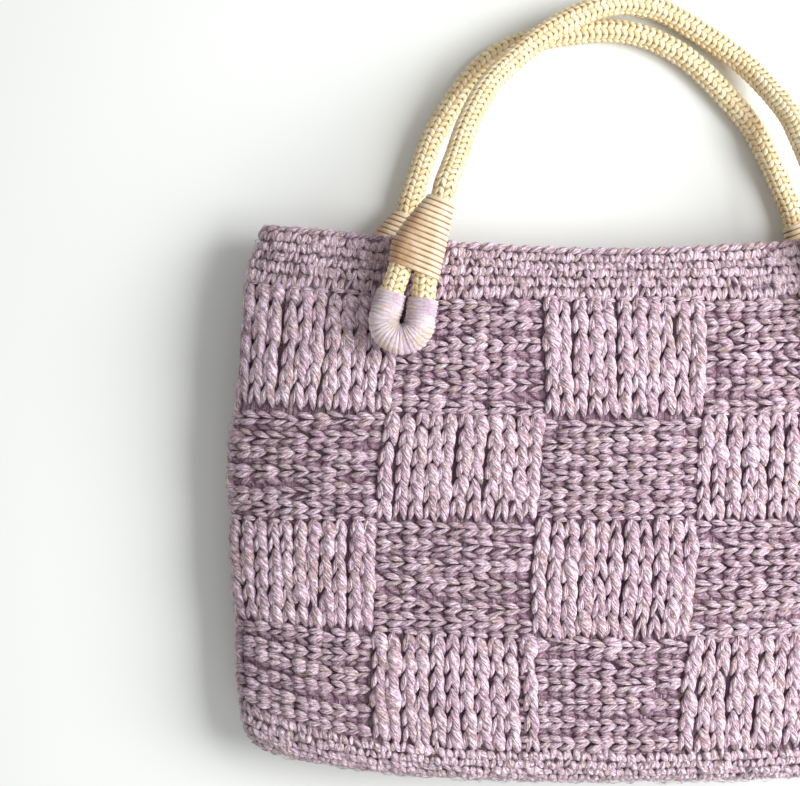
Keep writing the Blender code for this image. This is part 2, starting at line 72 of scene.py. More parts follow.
@dataclass(frozen=True)
class BagSizes:
    """The bag body's sizes and the two tables that shape it, as in the part."""

    half_width: float = 0.187
    height: float = 0.254
    depth: float = 0.0445
    wall: float = 0.0062
    mouth_gap: float = 0.0135
    lip_rise: float = 0.0022
    base_chain_inset: float = 0.0118
    corner_droop: float = 0.0045
    rib_foot: float = 0.0020
    back_lift: float = 0.0165
    fold_share: float = 0.46
    swell_power: float = 0.7
    droop_start: float = 0.8
    rim_lean: float = 0.022
    front_powers: tuple = (3.0, 2.2)
    back_powers: tuple = (6.0, 3.0)
    puff: float = 0.0013
    row_height: float = 0.050
    blocks: int = 5
    rows: int = 4
    upright_ribs: int = 11
    level_ribs: int = 6
    levels: tuple = (
        # level, middle, one block in, fold, width, fullness, lift
        (2.0, 0.063, 0.080, 0.153, 0.970, 0.86, 0.00),
        (2.5, 0.170, 0.185, 0.230, 0.976, 0.95, 0.00),
        (3.0, 0.281, 0.293, 0.308, 0.978, 1.00, 0.00),
        (3.5, 0.392, 0.398, 0.404, 0.987, 1.00, 0.00),
        (4.0, 0.505, 0.503, 0.501, 0.993, 0.95, 0.03),
        (4.5, 0.602, 0.606, 0.610, 1.000, 0.80, 0.28),
        (5.0, 0.700, 0.708, 0.719, 0.978, 0.60, 0.70),
        (5.4, 0.788, 0.795, 0.812, 0.964, 0.42, 0.97),
        (6.0, 0.915, 0.922, 0.952, 0.950, 0.18, 1.00),
        (7.0, 1.000, 1.022, 1.049, 0.915, 0.00, 1.00),
    )
    base_edge: tuple = (0.0, 0.013, 0.056)
    border_shifts: tuple = (
        # level, first, second, third and fourth border between front blocks
        (2.5, -0.10, -0.02, -0.08, -0.04),
        (3.5, -0.05, -0.04, 0.01, 0.02),
        (4.5, 0.00, 0.03, 0.02, 0.00),
        (5.5, 0.05, 0.01, 0.08, 0.04),
    )

    @property
    def block_width(self) -> float:
        """Width of one block."""
        return 2 * self.half_width / self.blocks


@dataclass(frozen=True)
class RopeSizes:
    """The handles' sizes, as in the part."""

    radius: float = 0.00575
    yarn: float = 0.0014
    lace: float = 0.0012
    slit: float = 0.0019
    leg_gap: float = 0.0006
    binding_start: float = 0.0243
    binding_length: float = 0.0375
    tail: float = 0.0095
    wrap_rise: float = 0.0125
    seat: float = 0.0003
    front_pitch: float = math.radians(3.5)

    @property
    def wrap_radius(self) -> float:
        """Outside radius of the wound yarn."""
        return self.radius + self.seat + self.yarn

    @property
    def bend(self) -> float:
        """Radius of the eye's bend, at the rope's middle."""
        return self.wrap_radius + self.slit / 2

    @property
    def leg(self) -> float:
        """Distance of each leg from the middle line inside the binding."""
        return self.radius + self.leg_gap / 2

    @property
    def top(self) -> float:
        """Distance from the eye's middle to the binding's upper end."""
        return self.binding_start + self.binding_length


BAG = BagSizes()
ROPE = RopeSizes()
BASE_LEVEL, RIM_ROUNDS_LEVEL, RIM_LEVEL, NET_TOP = 2.0, 6.0, 7.0, 7.2
AROUND = 2.0 * BAG.blocks
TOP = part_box("bag_shell")[0].y

HANDLE_ENDS = (
    # name, on front, across, up, lean in degrees, tail side
    ("front_left", True, -0.550, 0.872, 12.5, -1),
    ("front_right", True, 0.605, 0.872, -11.0, 1),
    ("back_left", False, -0.637, 0.862, 12.5, -1),
    ("back_right", False, 0.604, 0.844, -12.5, 1),
)
ARCHES = {
    # routes of the free arches in millimetres, measured up from the base's edge
    "front": (
        (-77.0, 300.5, 47.0), (-71.5, 316.5, 41.0), (-62.5, 334.5, 33.5), (-51.0, 348.5, 26.5),
        (-27.5, 368.0, 19.5), (-2.0, 380.0, 15.0), (17.5, 381.0, 11.0), (34.0, 375.5, 8.5),
        (60.5, 358.5, 8.5), (74.0, 345.0, 13.5), (86.0, 326.0, 25.0), (90.5, 311.0, 35.0),
        (93.5, 297.5, 44.0),
    ),
    "back": (
        (-91.0, 306.5, 6.4), (-84.5, 321.0, 6.2), (-66.5, 347.0, 6.0), (-46.5, 361.5, 6.0),
        (-15.0, 368.5, 6.0), (13.0, 368.0, 6.0), (40.0, 355.5, 6.0), (66.5, 329.0, 6.0),
        (78.0, 311.5, 6.2),
    ),
}


def smooth_column(rows: tuple, column: int, place: float) -> float:
    """Reads one column of a table at any place of its first column, through a smooth curve.

    Args:
        rows: the table, its first column rising.
        column: number of the column to read.
        place: where to read it.

    Returns:
        The column's value there.
    """
    keys = [row[0] for row in rows]
    values = [row[column] for row in rows]
    if place <= keys[0]:
        return values[0]
    if place >= keys[-1]:
        return values[-1]
    i = max(k for k in range(len(keys) - 1) if keys[k] <= place)
    span = keys[i + 1] - keys[i]
    t = (place - keys[i]) / span

    def slope(k: int) -> float:
        """Finds the slope of the curve at one row.

        Args:
            k: number of the row.

        Returns:
            The slope.
        """
        if k in (0, len(keys) - 1):
            return (values[i + 1] - values[i]) / span
        return (values[k + 1] - values[k - 1]) / (keys[k + 1] - keys[k - 1])

    start, end = slope(i) * span, slope(i + 1) * span
    return (
        (2 * t**3 - 3 * t**2 + 1) * values[i]
        + (t**3 - 2 * t**2 + t) * start
        + (3 * t**2 - 2 * t**3) * values[i + 1]
        + (t**3 - t**2) * end
    )


def across_curve(middle: float, one_in: float, fold: float, across: np.ndarray) -> np.ndarray:
    """A height at any share across the bag, from its three stated heights.

    Args:
        middle: height in the bag's middle.
        one_in: height one block in from the fold.
        fold: height at the fold.
        across: shares of the half width, from -1 to 1.

    Returns:
        The heights.
    """
    inner = 1 - 2 / BAG.blocks
    rise_in, rise_fold = one_in - middle, fold - middle
    quartic = (rise_fold * inner**2 - rise_in) / (inner**2 - inner**4)
    return middle + (rise_fold - quartic) * across**2 + quartic * across**4


def unit(vectors: np.ndarray) -> np.ndarray:
    """The same directions with length one."""
    return vectors / np.maximum(np.linalg.norm(vectors, axis=-1, keepdims=True), 1e-12)


def wall_ring(around: np.ndarray, level: float, inset: float = 0.0, rise: float = 0.0) -> np.ndarray:
    """Points of the knitted wall at one level.

    Args:
        around: places round the bag in blocks, 0 at the left fold, across the front and the back.
        level: 0 at the base's middle chain, 2 to 6 over the rows of blocks, 7 at the rim.
        inset: how far inside the outer surface.
        rise: extra height.

    Returns:
        One point for each place.
    """
    turn = min(level / BASE_LEVEL, 1.0) * math.pi / 2
    foot = min(max(level, BASE_LEVEL), RIM_LEVEL)
    mouth = 2 * BAG.wall + BAG.mouth_gap
    share_lift = smooth_column(BAG.levels, 6, foot)
    width = smooth_column(BAG.levels, 4, foot) * BAG.half_width
    depth = mouth + smooth_column(BAG.levels, 5, foot) * (BAG.depth - mouth)
    width -= BAG.base_chain_inset * (1 - math.sin(turn)) + inset
    low = BAG.rib_foot + share_lift * BAG.back_lift
    fold = low + BAG.fold_share * depth
    swell = math.sin(turn) ** BAG.swell_power
    samples, height_weight = 385, 0.4
    across = -np.cos(np.linspace(0.0, math.pi, samples))
    reach = np.abs(across)
    corner = np.clip((reach - BAG.droop_start) / (1 - BAG.droop_start), 0, 1)
    drop = BAG.corner_droop * corner**2 * share_lift
    on_front = around <= BAG.blocks
    on_wall = math.sin(turn)
    shifts = [smooth_column(BAG.border_shifts, k, level) * on_wall for k in range(1, BAG.blocks)]
    borders = range(BAG.blocks + 1)
    shifted = around + np.interp(around, borders, [0.0, *shifts, 0.0])
    place = np.where(on_front, shifted, AROUND - around) / BAG.blocks
    found_reach, height = np.zeros_like(around), np.zeros_like(around)
    for side, full, (flatness, roundness) in (
        (on_front, (low + depth - inset - fold) * swell, BAG.front_powers),
        (~on_front, -(fold - low - inset) * swell, BAG.back_powers),
    ):
        z = fold + full * np.clip(1 - reach**flatness, 0, 1) ** (1 / roundness) - drop
        steps = np.hypot(np.diff(across * width), height_weight * np.diff(z))
        length = np.concatenate(([0.0], np.cumsum(steps)))
        found = np.interp(place, length / length[-1], across)
        found_reach = np.where(side, found, found_reach)
        height = np.where(side, np.interp(found, across, z), height)
    up = across_curve(*(smooth_column(BAG.levels, k, foot) for k in (1, 2, 3)), found_reach)
    edge = across_curve(*BAG.base_edge, found_reach) * BAG.height
    up = edge + (up * BAG.height - edge) * (1 - math.cos(turn)) + inset * math.cos(turn)
    up += rise + max(level - RIM_LEVEL, 0.0) * BAG.rim_lean
    return np.stack((found_reach * width, up + TOP, height), axis=-1)


class Surface(ABC):
    """Something that strands are laid on, with two coordinates along it."""

    @abstractmethod
    def lay(self, u: np.ndarray, v: np.ndarray) -> tuple[np.ndarray, np.ndarray]:
        """Finds places on the surface.

        Args:
            u: first coordinates.
            v: second coordinates.

        Returns:
            The points there and the outward directions.
        """


class KnitWall(Surface):
    """The bag's outer wall: u counts blocks round it and v is the level."""

    def __init__(self) -> None:
        """Samples the wall on a fine net, closed round the bag."""
        self.u_steps, self.v_steps = 1000, 144
        around = np.linspace(0.0, AROUND, self.u_steps + 1)
        levels = np.linspace(0.0, NET_TOP, self.v_steps + 1)
        net = np.array([wall_ring(around, level) for level in levels])
        closed = np.concatenate((net[:, -2:-1], net, net[:, 1:2]), axis=1)
        along = closed[:, 2:] - closed[:, :-2]
        upward = np.gradient(net, axis=0)
        self.points, self.normals = net, unit(np.cross(along, upward))

    def even(self, share: float, level: float) -> float:
        """Finds the place at a true share of the way round the wall.

        Args:
            share: share of the way round, past 1 for a further turn.
            level: height up the wall.

        Returns:
            The place in blocks.
        """
        row = self.points[min(round(level / NET_TOP * self.v_steps), self.v_steps)]
        length = np.concatenate(([0.0], np.cumsum(np.linalg.norm(np.diff(row, axis=0), axis=1))))
        whole = math.floor(share)
        places = np.linspace(0.0, AROUND, self.u_steps + 1)
        return float(np.interp((share - whole) * length[-1], length, places)) + whole * AROUND

    def lay(self, u: np.ndarray, v: np.ndarray) -> tuple[np.ndarray, np.ndarray]:
        """Finds places on the wall.

        Args:
            u: places round it, in blocks.
            v: levels.

        Returns:
            The points there and the outward directions.
        """
        a = np.mod(u, AROUND) / AROUND * self.u_steps
        b = np.clip(v / NET_TOP, 0.0, 1.0) * self.v_steps
        i = np.minimum(a.astype(int), self.u_steps - 1)
        j = np.minimum(b.astype(int), self.v_steps - 1)
        s, t = (a - i)[..., None], (b - j)[..., None]
        found = []
        for net in (self.points, self.normals):
            low = net[j, i] * (1 - s) + net[j, i + 1] * s
            high = net[j + 1, i] * (1 - s) + net[j + 1, i + 1] * s
            found.append(low * (1 - t) + high * t)
        return found[0], unit(found[1])


class Tube(Surface):
    """A round tube along a route: u counts turns round it and v is the distance along it."""

    def __init__(self, route: list[Vector], radius: float) -> None:
        """Measures the route.

        Args:
            route: the centre line's points.
            radius: from the centre line to the surface.
        """
        points = np.array([list(p) for p in route])
        self.radius = radius
        self.length_at = np.concatenate(([0.0], np.cumsum(np.linalg.norm(np.diff(points, axis=0), axis=1))))
        self.length = float(self.length_at[-1])
        tangent = unit(np.gradient(points, self.length_at, axis=0))
        across = unit(np.cross(tangent, (0.0, 0.0, 1.0)))
        self.columns = np.concatenate((points, across, unit(np.cross(across, tangent))), axis=1)

    def read(self, v: np.ndarray) -> tuple[np.ndarray, np.ndarray, np.ndarray]:
        """Reads the route.

        Args:
            v: distances along it.

        Returns:
            The centres, sideways directions and upward directions there.
        """
        flat = [np.interp(v, self.length_at, self.columns[:, k]) for k in range(9)]
        stacked = np.stack(flat, axis=-1)
        return stacked[..., :3], unit(stacked[..., 3:6]), unit(stacked[..., 6:])

    def spokes(self, u: np.ndarray, v: np.ndarray) -> tuple[np.ndarray, np.ndarray]:
        """Reads the directions round the route.

        Args:
            u: turns round it.
            v: distances along it.

        Returns:
            The centres and outward directions there.
        """
        centre, across, upward = self.read(v)
        angle = (2 * math.pi * u)[..., None]
        return centre, across * np.cos(angle) + upward * np.sin(angle)

    def lay(self, u: np.ndarray, v: np.ndarray) -> tuple[np.ndarray, np.ndarray]:
        """See Surface.lay."""
        centre, normal = self.spokes(u, v)
        return centre + normal * self.radius, normal


def smooth_route(points: list[Vector], step: float) -> list[Vector]:
    """Evenly spaced points on a smooth curve through the route's own points.

    Args:
        points: the route's own points.
        step: wanted distance between the new points.

    Returns:
        The new points.
    """
    ends = [points[0] * 2 - points[1], *points, points[-1] * 2 - points[-2]]
    fine, pieces = [], 24
    for a, b, c, d in zip(ends, ends[1:], ends[2:], ends[3:]):
        for t in (k / pieces for k in range(pieces)):
            square = 2 * a - 5 * b + 4 * c - d
            cube = 3 * b - a - 3 * c + d
            fine.append(0.5 * (2 * b + (c - a) * t + square * t**2 + cube * t**3))
    fine.append(points[-1])
    length = np.concatenate(([0.0], np.cumsum([(q - p).length for p, q in zip(fine, fine[1:])])))
    count = max(round(float(length[-1]) / step), 8)
    places = np.linspace(0.0, length[-1], count + 1)
    columns = [np.interp(places, length, [point[k] for point in fine]) for k in range(3)]
    return [Vector(values) for values in zip(*columns)]


class Tree:
    """A short way to build a node tree."""

    def __init__(self, tree: bpy.types.NodeTree) -> None:
        """Keeps the tree that nodes are added to."""
        self.tree = tree

    def put(self, kind: str, *inputs: object, **settings: object) -> bpy.types.Node:
        """Adds a node.

        Args:
            kind: node type, without its common first word.
            inputs: values or sockets for the inputs in order; None leaves one alone.
            settings: properties of the node, and inputs by name in a dict called named.

        Returns:
            The node.
        """
        node = self.tree.nodes.new(kind if kind.startswith("Node") else "ShaderNode" + kind)
        named = settings.pop("named", {})
        for key, value in settings.items():
            setattr(node, key, value)
        for key, value in [*enumerate(inputs), *named.items()]:
            if isinstance(value, Socket):
                self.tree.links.new(value, node.inputs[key])
            elif value is not None:
                node.inputs[key].default_value = value
        return node

    def math(self, operation: str, *inputs: object) -> Socket:
        """The result of a Math node."""
        return self.put("Math", *inputs, operation=operation).outputs[0]

    def times(self, first: object, second: object) -> Socket:
        """Two values multiplied."""
        return self.math("MULTIPLY", first, second)

    def mix(self, factor: object, a: object, b: object) -> Socket:
        """The result of a colour Mix node."""
        return self.put("Mix", data_type="RGBA", named={0: factor, 6: a, 7: b}).outputs[2]

    def span(
        self, value: object, low: float, high: float, to_low: float = 0.0, to_high: float = 1.0
    ) -> Socket:
        """A value carried from one range to another, kept inside it."""
        node = self.put("MapRange", value, low, high, to_low, to_high, interpolation_type="SMOOTHSTEP")
        return node.outputs[0]

    def tint(
        self, colour: object, other: tuple, share: float, value: Socket, none: float, full: float
    ) -> Socket:
        """A colour mixed with up to a share of another, as a value goes from none to full."""
        return self.mix(self.times(self.span(value, none, full), share), colour, other)

    def surface(
        self, height: Socket | None = None, depth: float = 0.0, strength: float = 1.0, **inputs: object
    ) -> None:
        """Sets the surface shader.

        Args:
            height: heights of the bump; None for a plain surface.
            depth: how deep the bump goes.
            strength: how strong it is.
            inputs: the shader's inputs, their names in small letters with a low line for each space.
        """
        shader = self.tree.nodes["Principled BSDF"]
        if height is not None:
            named = {"Height": height, "Distance": depth, "Strength": strength}
            inputs["normal"] = self.put("Bump", named=named).outputs[0]
        sockets = {socket.name.lower().replace(" ", "_"): socket for socket in shader.inputs}
        for name, value in inputs.items():
            if isinstance(value, Socket):
                self.tree.links.new(value, sockets[name])
            else:
                sockets[name].default_value = value

    def attribute(self, name: str) -> Socket:
        """A vector attribute of the piece."""
        return self.put("Attribute", attribute_name=name).outputs["Vector"]

    def own_place(self) -> Socket:
        """The place in the piece's own frame."""
        return self.put("TexCoord").outputs["Object"]

    def parts(self, vector: Socket) -> list[Socket]:
        """The three numbers of a vector."""
        return list(self.put("SeparateXYZ", vector).outputs)

    def vector(self, x: object, y: object, z: object) -> Socket:
        """A vector from three numbers."""
        return self.put("CombineXYZ", x, y, z).outputs[0]

    def fibres(self, strand: Socket, **settings: float) -> list[Socket]:
        """Places the spun fibres.

        Args:
            strand: coordinates across and along the strand.
            settings: the group's other inputs, their names in small letters.

        Returns:
            The masks of plies, fibres, hairs and blotches.
        """
        named = {name.title(): value for name, value in settings.items()}
        group = bpy.data.node_groups["spun fibres"]
        return list(self.put("Group", node_tree=group, named={"Strand": strand, **named}).outputs)

    def noise(self, vector: object, scale: float, detail: float = 2.0) -> Socket:
        """The value of a Noise Texture."""
        node = self.put("TexNoise", named={"Vector": vector, "Scale": scale, "Detail": detail})
        return node.outputs["Fac"]


def node_group(
    name: str, inputs: dict[str, tuple], outputs: tuple
) -> tuple[Tree, bpy.types.Node, bpy.types.Node]:
    """Starts a shader node group.

    Args:
        name: the group's name.
        inputs: socket type and default value of each input, by name.
        outputs: names of the outputs, each a mask.

    Returns:
        The tree, and its input and output nodes.
    """
    made = bpy.data.node_groups.new(name, "ShaderNodeTree")
    for label, (kind, value) in inputs.items():
        socket = made.interface.new_socket(label, in_out="INPUT", socket_type="NodeSocket" + kind)
        if value is not None:
            socket.default_value = value
    for label in outputs:
        made.interface.new_socket(label, in_out="OUTPUT", socket_type="NodeSocketFloat")
    tree = Tree(made)
    return tree, tree.put("NodeGroupInput"), tree.put("NodeGroupOutput")


def spun_fibre_group() -> bpy.types.NodeTree:
    """Builds the group of fibres and plies that run along a strand in a slow twist.

    Returns:
        The group.
    """
    inputs = {"Strand": ("Vector", None), "Twist": ("Float", 500.0), "Plies": ("Float", 3.0),
              "Fineness": ("Float", 2.9), "Stretch": ("Float", 330.0)}
    tree, given, out = node_group("spun fibres", inputs, ("Ply", "Fibre", "Hair", "Blotch"))
    x, y, z = tree.parts(given.outputs["Strand"])
    angle = tree.math("ADD", tree.math("ARCTAN2", y, x), tree.times(z, given.outputs["Twist"]))
    loose = tree.noise(tree.vector(x, y, tree.times(z, 180.0)), 1.2, 1.0)
    blotch = tree.noise(tree.vector(x, y, tree.times(z, 120.0)), 1.0, 3.0)
    turns = tree.math("MULTIPLY_ADD", angle, given.outputs["Plies"], tree.times(loose, 5.0))
    ply = tree.math("MULTIPLY_ADD", tree.math("SINE", turns), 0.5, 0.5)
    fine = given.outputs["Fineness"]
    cosine, sine = (tree.times(tree.math(name, angle), fine) for name in ("COSINE", "SINE"))
    turned = tree.vector(cosine, sine, tree.times(z, given.outputs["Stretch"]))
    fibre, hair = tree.noise(turned, 0.55, 2.0), tree.noise(turned, 1.1, 4.0)
    for socket, value in zip(out.inputs, (ply, fibre, hair, blotch)):
        tree.tree.links.new(value, socket)
    return tree.tree


class Finish(ABC):
    """A material made of nodes."""

    name: str

    def material(self) -> bpy.types.Material:
        """Builds the finish.

        Returns:
            The material.
        """
        made = bpy.data.materials.new(self.name)
        made.use_nodes = True
        self.paint(Tree(made.node_tree))
        return made

    @abstractmethod
    def paint(self, tree: Tree) -> None:
        """Adds the finish's nodes and sets its surface.

        Args:
            tree: the material's nodes.
        """


@dataclass(frozen=True)
class YarnFinish(Finish):
    """Plied, slubby lilac yarn with brown and cream flecks, with painted shade deep between the stitches
    and in the furrows between its plies.
    """

    name: str = "lilac_yarn"
    dusky: tuple = (0.49, 0.29, 0.40, 1)
    body: tuple = (0.90, 0.675, 0.82, 1)
    pale: tuple = (0.96, 0.84, 0.95, 1)
    line: tuple = (0.33, 0.175, 0.265, 1)
    # Painted shade in the furrows between the plies.
    deep: tuple = (0.24, 0.105, 0.18, 1)
    # Painted shade deep between the stitches, where the depth is low.
    gap_shade: tuple = (0.25, 0.115, 0.19, 1)
    tan: tuple = (0.46, 0.315, 0.23, 1)
    tan_share: float = 0.85
    twist: float = 240.0
    plies: float = 4.0
    bump: float = 0.0013
    sheen: float = 0.12
    hair_share: float = 0.7
    # Share of random darker mauve and tan blotches over the piece; none on most yarns.
    blotch_share: float = 0.0

    def paint(self, tree: Tree) -> None:
        """Adds the finish's nodes and sets its surface.

        Args:
            tree: the material's nodes.
        """
        run, tone, depth = tree.parts(tree.attribute("yarn"))
        own = tree.put("VectorMath", tree.attribute("strand"), tree.vector(0.0, 0.0, run), operation="ADD")
        ply, fibre, hair, blotch = tree.fibres(own.outputs[0], twist=self.twist, plies=self.plies)
        patch = tree.noise(tree.vector(run, tree.times(tone, 0.15), 0.0), 26.0)
        shade = tree.math("MULTIPLY_ADD", tone, 0.55, tree.times(patch, 0.8))
        colour = tree.mix(tree.span(shade, 0.20, 0.95), self.dusky, self.body)
        heather = tree.times(tree.span(blotch, 0.45, 0.53), tree.span(patch, 0.35, 0.6, 0.4, 1.0))
        colour = tree.mix(tree.times(heather, self.tan_share), colour, self.tan)
        place = tree.own_place()
        # Darker mauve and tan blotches scattered at random over the piece, as strong as the blotch share.
        if self.blotch_share:
            colour = tree.tint(colour, self.dusky, self.blotch_share, tree.noise(place, 75.0, 1.0), 0.50, 0.36)
            colour = tree.tint(colour, self.tan, self.blotch_share, tree.noise(place, 130.0, 1.0), 0.52, 0.66)
        colour = tree.tint(colour, self.pale, 0.45, fibre, 0.46, 0.64)
        # Painted shade: the colour darkens towards the gap shade where the strand lies deep between
        # stitches.
        colour = tree.mix(tree.span(depth, 0.64, 0.10), colour, self.gap_shade)
        # Pale fibre streaks, the yarn's own colour, fade out in the recesses, which paints shade there.
        streak = tree.times(tree.span(hair, 0.50, 0.60), tree.span(depth, 0.0, 0.8, 0.15, 1.0))
        colour = tree.mix(tree.times(streak, 0.65), colour, self.pale)
        speck = tree.noise(place, 1100.0)
        colour = tree.tint(colour, self.line, 0.6 * self.hair_share, speck, 0.48, 0.36)
        colour = tree.tint(colour, self.pale, 0.30, speck, 0.54, 0.68)
        # Painted shade in the furrows between the plies.
        colour = tree.tint(colour, self.deep, 0.50, ply, 0.20, 0.0)
        colour = tree.tint(colour, self.line, self.hair_share, hair, 0.46, 0.38)
        height = tree.math("MULTIPLY_ADD", hair, 0.8, tree.math("MULTIPLY_ADD", ply, 0.4, fibre))
        tree.surface(height, self.bump, base_color=colour, roughness=0.82, specular_ior_level=0.25,
                     sheen_weight=self.sheen, sheen_roughness=0.5)


@dataclass(frozen=True)
class RopeFinish(Finish):
    """Braided cotton rope: creamy floats of fine threads, with painted brown shade in the gaps and in the
    ply furrows.
    """

    name: str = "braided_rope"
    body: tuple = (0.78, 0.56, 0.28, 1)
    pale: tuple = (0.96, 0.83, 0.57, 1)
    # Painted shade in the furrows between the plies and in the gaps between the floats.
    deep: tuple = (0.34, 0.18, 0.06, 1)

    def paint(self, tree: Tree) -> None:
        """Adds the finish's nodes and sets its surface.

        Args:
            tree: the material's nodes.
        """
        _, tone, depth = tree.parts(tree.attribute("yarn"))
        ply, _, hair, _ = tree.fibres(tree.attribute("strand"), twist=60.0, plies=8.0, fineness=3.0)
        colour = tree.mix(tree.span(tone, 0.0, 1.0, 0.35, 1.0), self.body, self.pale)
        # Painted shade in the ply furrows and, where the depth is low, between the floats.
        colour = tree.tint(colour, self.deep, 0.20, ply, 0.35, 0.0)
        colour = tree.tint(colour, self.deep, 0.55, depth, 0.35, 0.0)
        height = tree.math("MULTIPLY_ADD", ply, 0.6, tree.times(hair, 0.6))
        tree.surface(height, 0.00025, 0.8, base_color=colour, roughness=0.6, specular_ior_level=0.35)


@dataclass(frozen=True)
class LaceFinish(Finish):
    """Smooth tan lace with a satin face, a painted highlight on the top of each turn towards the standing
    leg, and painted shade between the turns and on the tail side.
    """

    name: str = "tan_lace"
    body: tuple = (0.55, 0.35, 0.205, 1)
    # The lace's paler patches, and the painted highlight on the top of each turn.
    pale: tuple = (0.92, 0.80, 0.58, 1)
    # Painted shade at the edges of each turn and on the tail side of the binding.
    edge: tuple = (0.34, 0.175, 0.085, 1)
    # The darker grain, and painted shade in the grooves between the turns.
    deep: tuple = (0.10, 0.04, 0.018, 1)

    def paint(self, tree: Tree) -> None:
        """Adds the finish's nodes and sets its surface.

        Args:
            tree: the material's nodes.
        """
        strand = tree.attribute("strand")
        across, depth = tree.parts(strand)[0], tree.parts(tree.attribute("yarn"))[2]
        grain = tree.noise(strand, 900.0, 3.0)
        cloud = tree.noise(tree.own_place(), 160.0)
        colour = tree.mix(tree.span(cloud, 0.35, 0.7, 0.0, 0.6), self.body, self.pale)
        colour = tree.tint(colour, self.deep, 0.12, grain, 0.62, 0.45)
        # Painted shade: the tail-leg side of the binding darkens towards the edge colour.
        colour = tree.tint(colour, self.edge, 0.55, across, 0.001, -0.010)
        # Painted highlight on the top of each turn, towards the standing leg.
        crown_highlight = tree.times(tree.span(depth, 0.72, 1.0), tree.span(across, -0.006, 0.004))
        colour = tree.mix(tree.times(crown_highlight, 0.55), colour, self.pale)
        # Painted shade towards the edges of each turn and deep in the grooves between them.
        colour = tree.tint(colour, self.edge, 0.5, depth, 0.90, 0.35)
        colour = tree.mix(tree.span(depth, 0.42, 0.0), colour, self.deep)
        roughness = tree.span(grain, 0.3, 0.7, 0.34, 0.5)
        tree.surface(grain, 0.00008, 0.6, base_color=colour, roughness=roughness)


@dataclass(frozen=True)
class FloorFinish(Finish):
    """A plain pale studio floor with the faintest unevenness."""

    name: str = "pale_floor"
    colour: tuple = (0.83, 0.85, 0.84, 1)
    shadow: tuple = (0.7, 0.72, 0.71, 1)

    def paint(self, tree: Tree) -> None:
        """Adds the finish's nodes and sets its surface.

        Args:
            tree: the material's nodes.
        """
        cloud = tree.noise(tree.own_place(), 3.0)
        shade = tree.mix(tree.span(cloud, 0.3, 0.7, 0.0, 0.05), self.colour, self.shadow)
        tree.surface(base_color=shade, roughness=0.7)


YARN = YarnFinish()
# A lighter copy of the yarn for the rim and base rounds: painted light, with lighter painted shade between
# the stitches.
LIT_ROUNDS_YARN = YarnFinish(
    "plain_round_yarn", dusky=(0.56, 0.36, 0.47, 1), body=(0.94, 0.73, 0.85, 1),
    line=(0.46, 0.28, 0.37, 1), deep=(0.40, 0.22, 0.33, 1), gap_shade=(0.50, 0.30, 0.41, 1),
)
WOUND_YARN = YarnFinish(
    "wound_yarn", dusky=(0.56, 0.32, 0.50, 1), body=(1.0, 0.82, 0.98, 1), pale=(1.0, 0.95, 1.0, 1),
    line=(0.62, 0.42, 0.52, 1), deep=(0.80, 0.58, 0.70, 1), gap_shade=(0.78, 0.54, 0.67, 1),
    tan=(0.74, 0.51, 0.22, 1), tan_share=0.6, plies=1.0, bump=0.0004, sheen=0.4, hair_share=0.22,
    blotch_share=0.85,
)
LOOSE_YARN = YarnFinish("stray_fibres", dusky=(0.80, 0.60, 0.72, 1), body=(0.97, 0.83, 0.91, 1))
# A dark copy of the yarn for the lining behind the stitches: painted shade seen through the gaps.
SHADED_KNITTED_BACK = YarnFinish(
    "knitted_back", dusky=(0.22, 0.115, 0.175, 1), body=(0.46, 0.30, 0.40, 1), gap_shade=(0.15, 0.065, 0.11, 1)
)


def add_piece(name: str, mesh: bpy.types.Mesh, finish: bpy.types.Material) -> bpy.types.Object:
    """Puts a finished mesh in the scene, riding on the bag.

    Args:
        name: the piece's name.
        mesh: its mesh, in place.
        finish: its material.

    Returns:
        The object.
    """
    mesh.materials.clear()
    mesh.materials.append(finish)
    mesh.shade_smooth()
    piece = bpy.data.objects.new(name, mesh)
    bpy.context.scene.collection.objects.link(piece)
    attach(piece, "root")
    log.info("%s: %d faces", name, len(mesh.polygons))
    return piece


def repeated(template: bmesh.types.BMesh, count: int) -> bpy.types.Mesh:
    """Repeats a small shape many times in one mesh, through an array.

    Args:
        template: the shape.
        count: how many copies.

    Returns:
        The joined mesh, copy after copy.
    """
    mesh = bpy.data.meshes.new("template")
    template.to_mesh(mesh)
    carrier = bpy.data.objects.new("template", mesh)
    bpy.context.scene.collection.objects.link(carrier)
    array = carrier.modifiers.new("rows", "ARRAY")
    array.count = count
    array.use_relative_offset = False
    array.use_constant_offset = True
    array.constant_offset_displace = (3.0, 0.0, 0.0)
    bpy.context.view_layer.update()
    shown = carrier.evaluated_get(bpy.context.evaluated_depsgraph_get())
    made = bpy.data.meshes.new_from_object(shown)
    bpy.data.objects.remove(carrier)
    bpy.data.meshes.remove(mesh)
    return made


@dataclass(frozen=True)
class Form:
    """One kind of strand: half its width and thickness, its belly's height, and how its ends narrow."""

    width: float
    thickness: float
    belly: float
    first_end: float
    last_end: float
    widest_at: float
    steady: bool = False


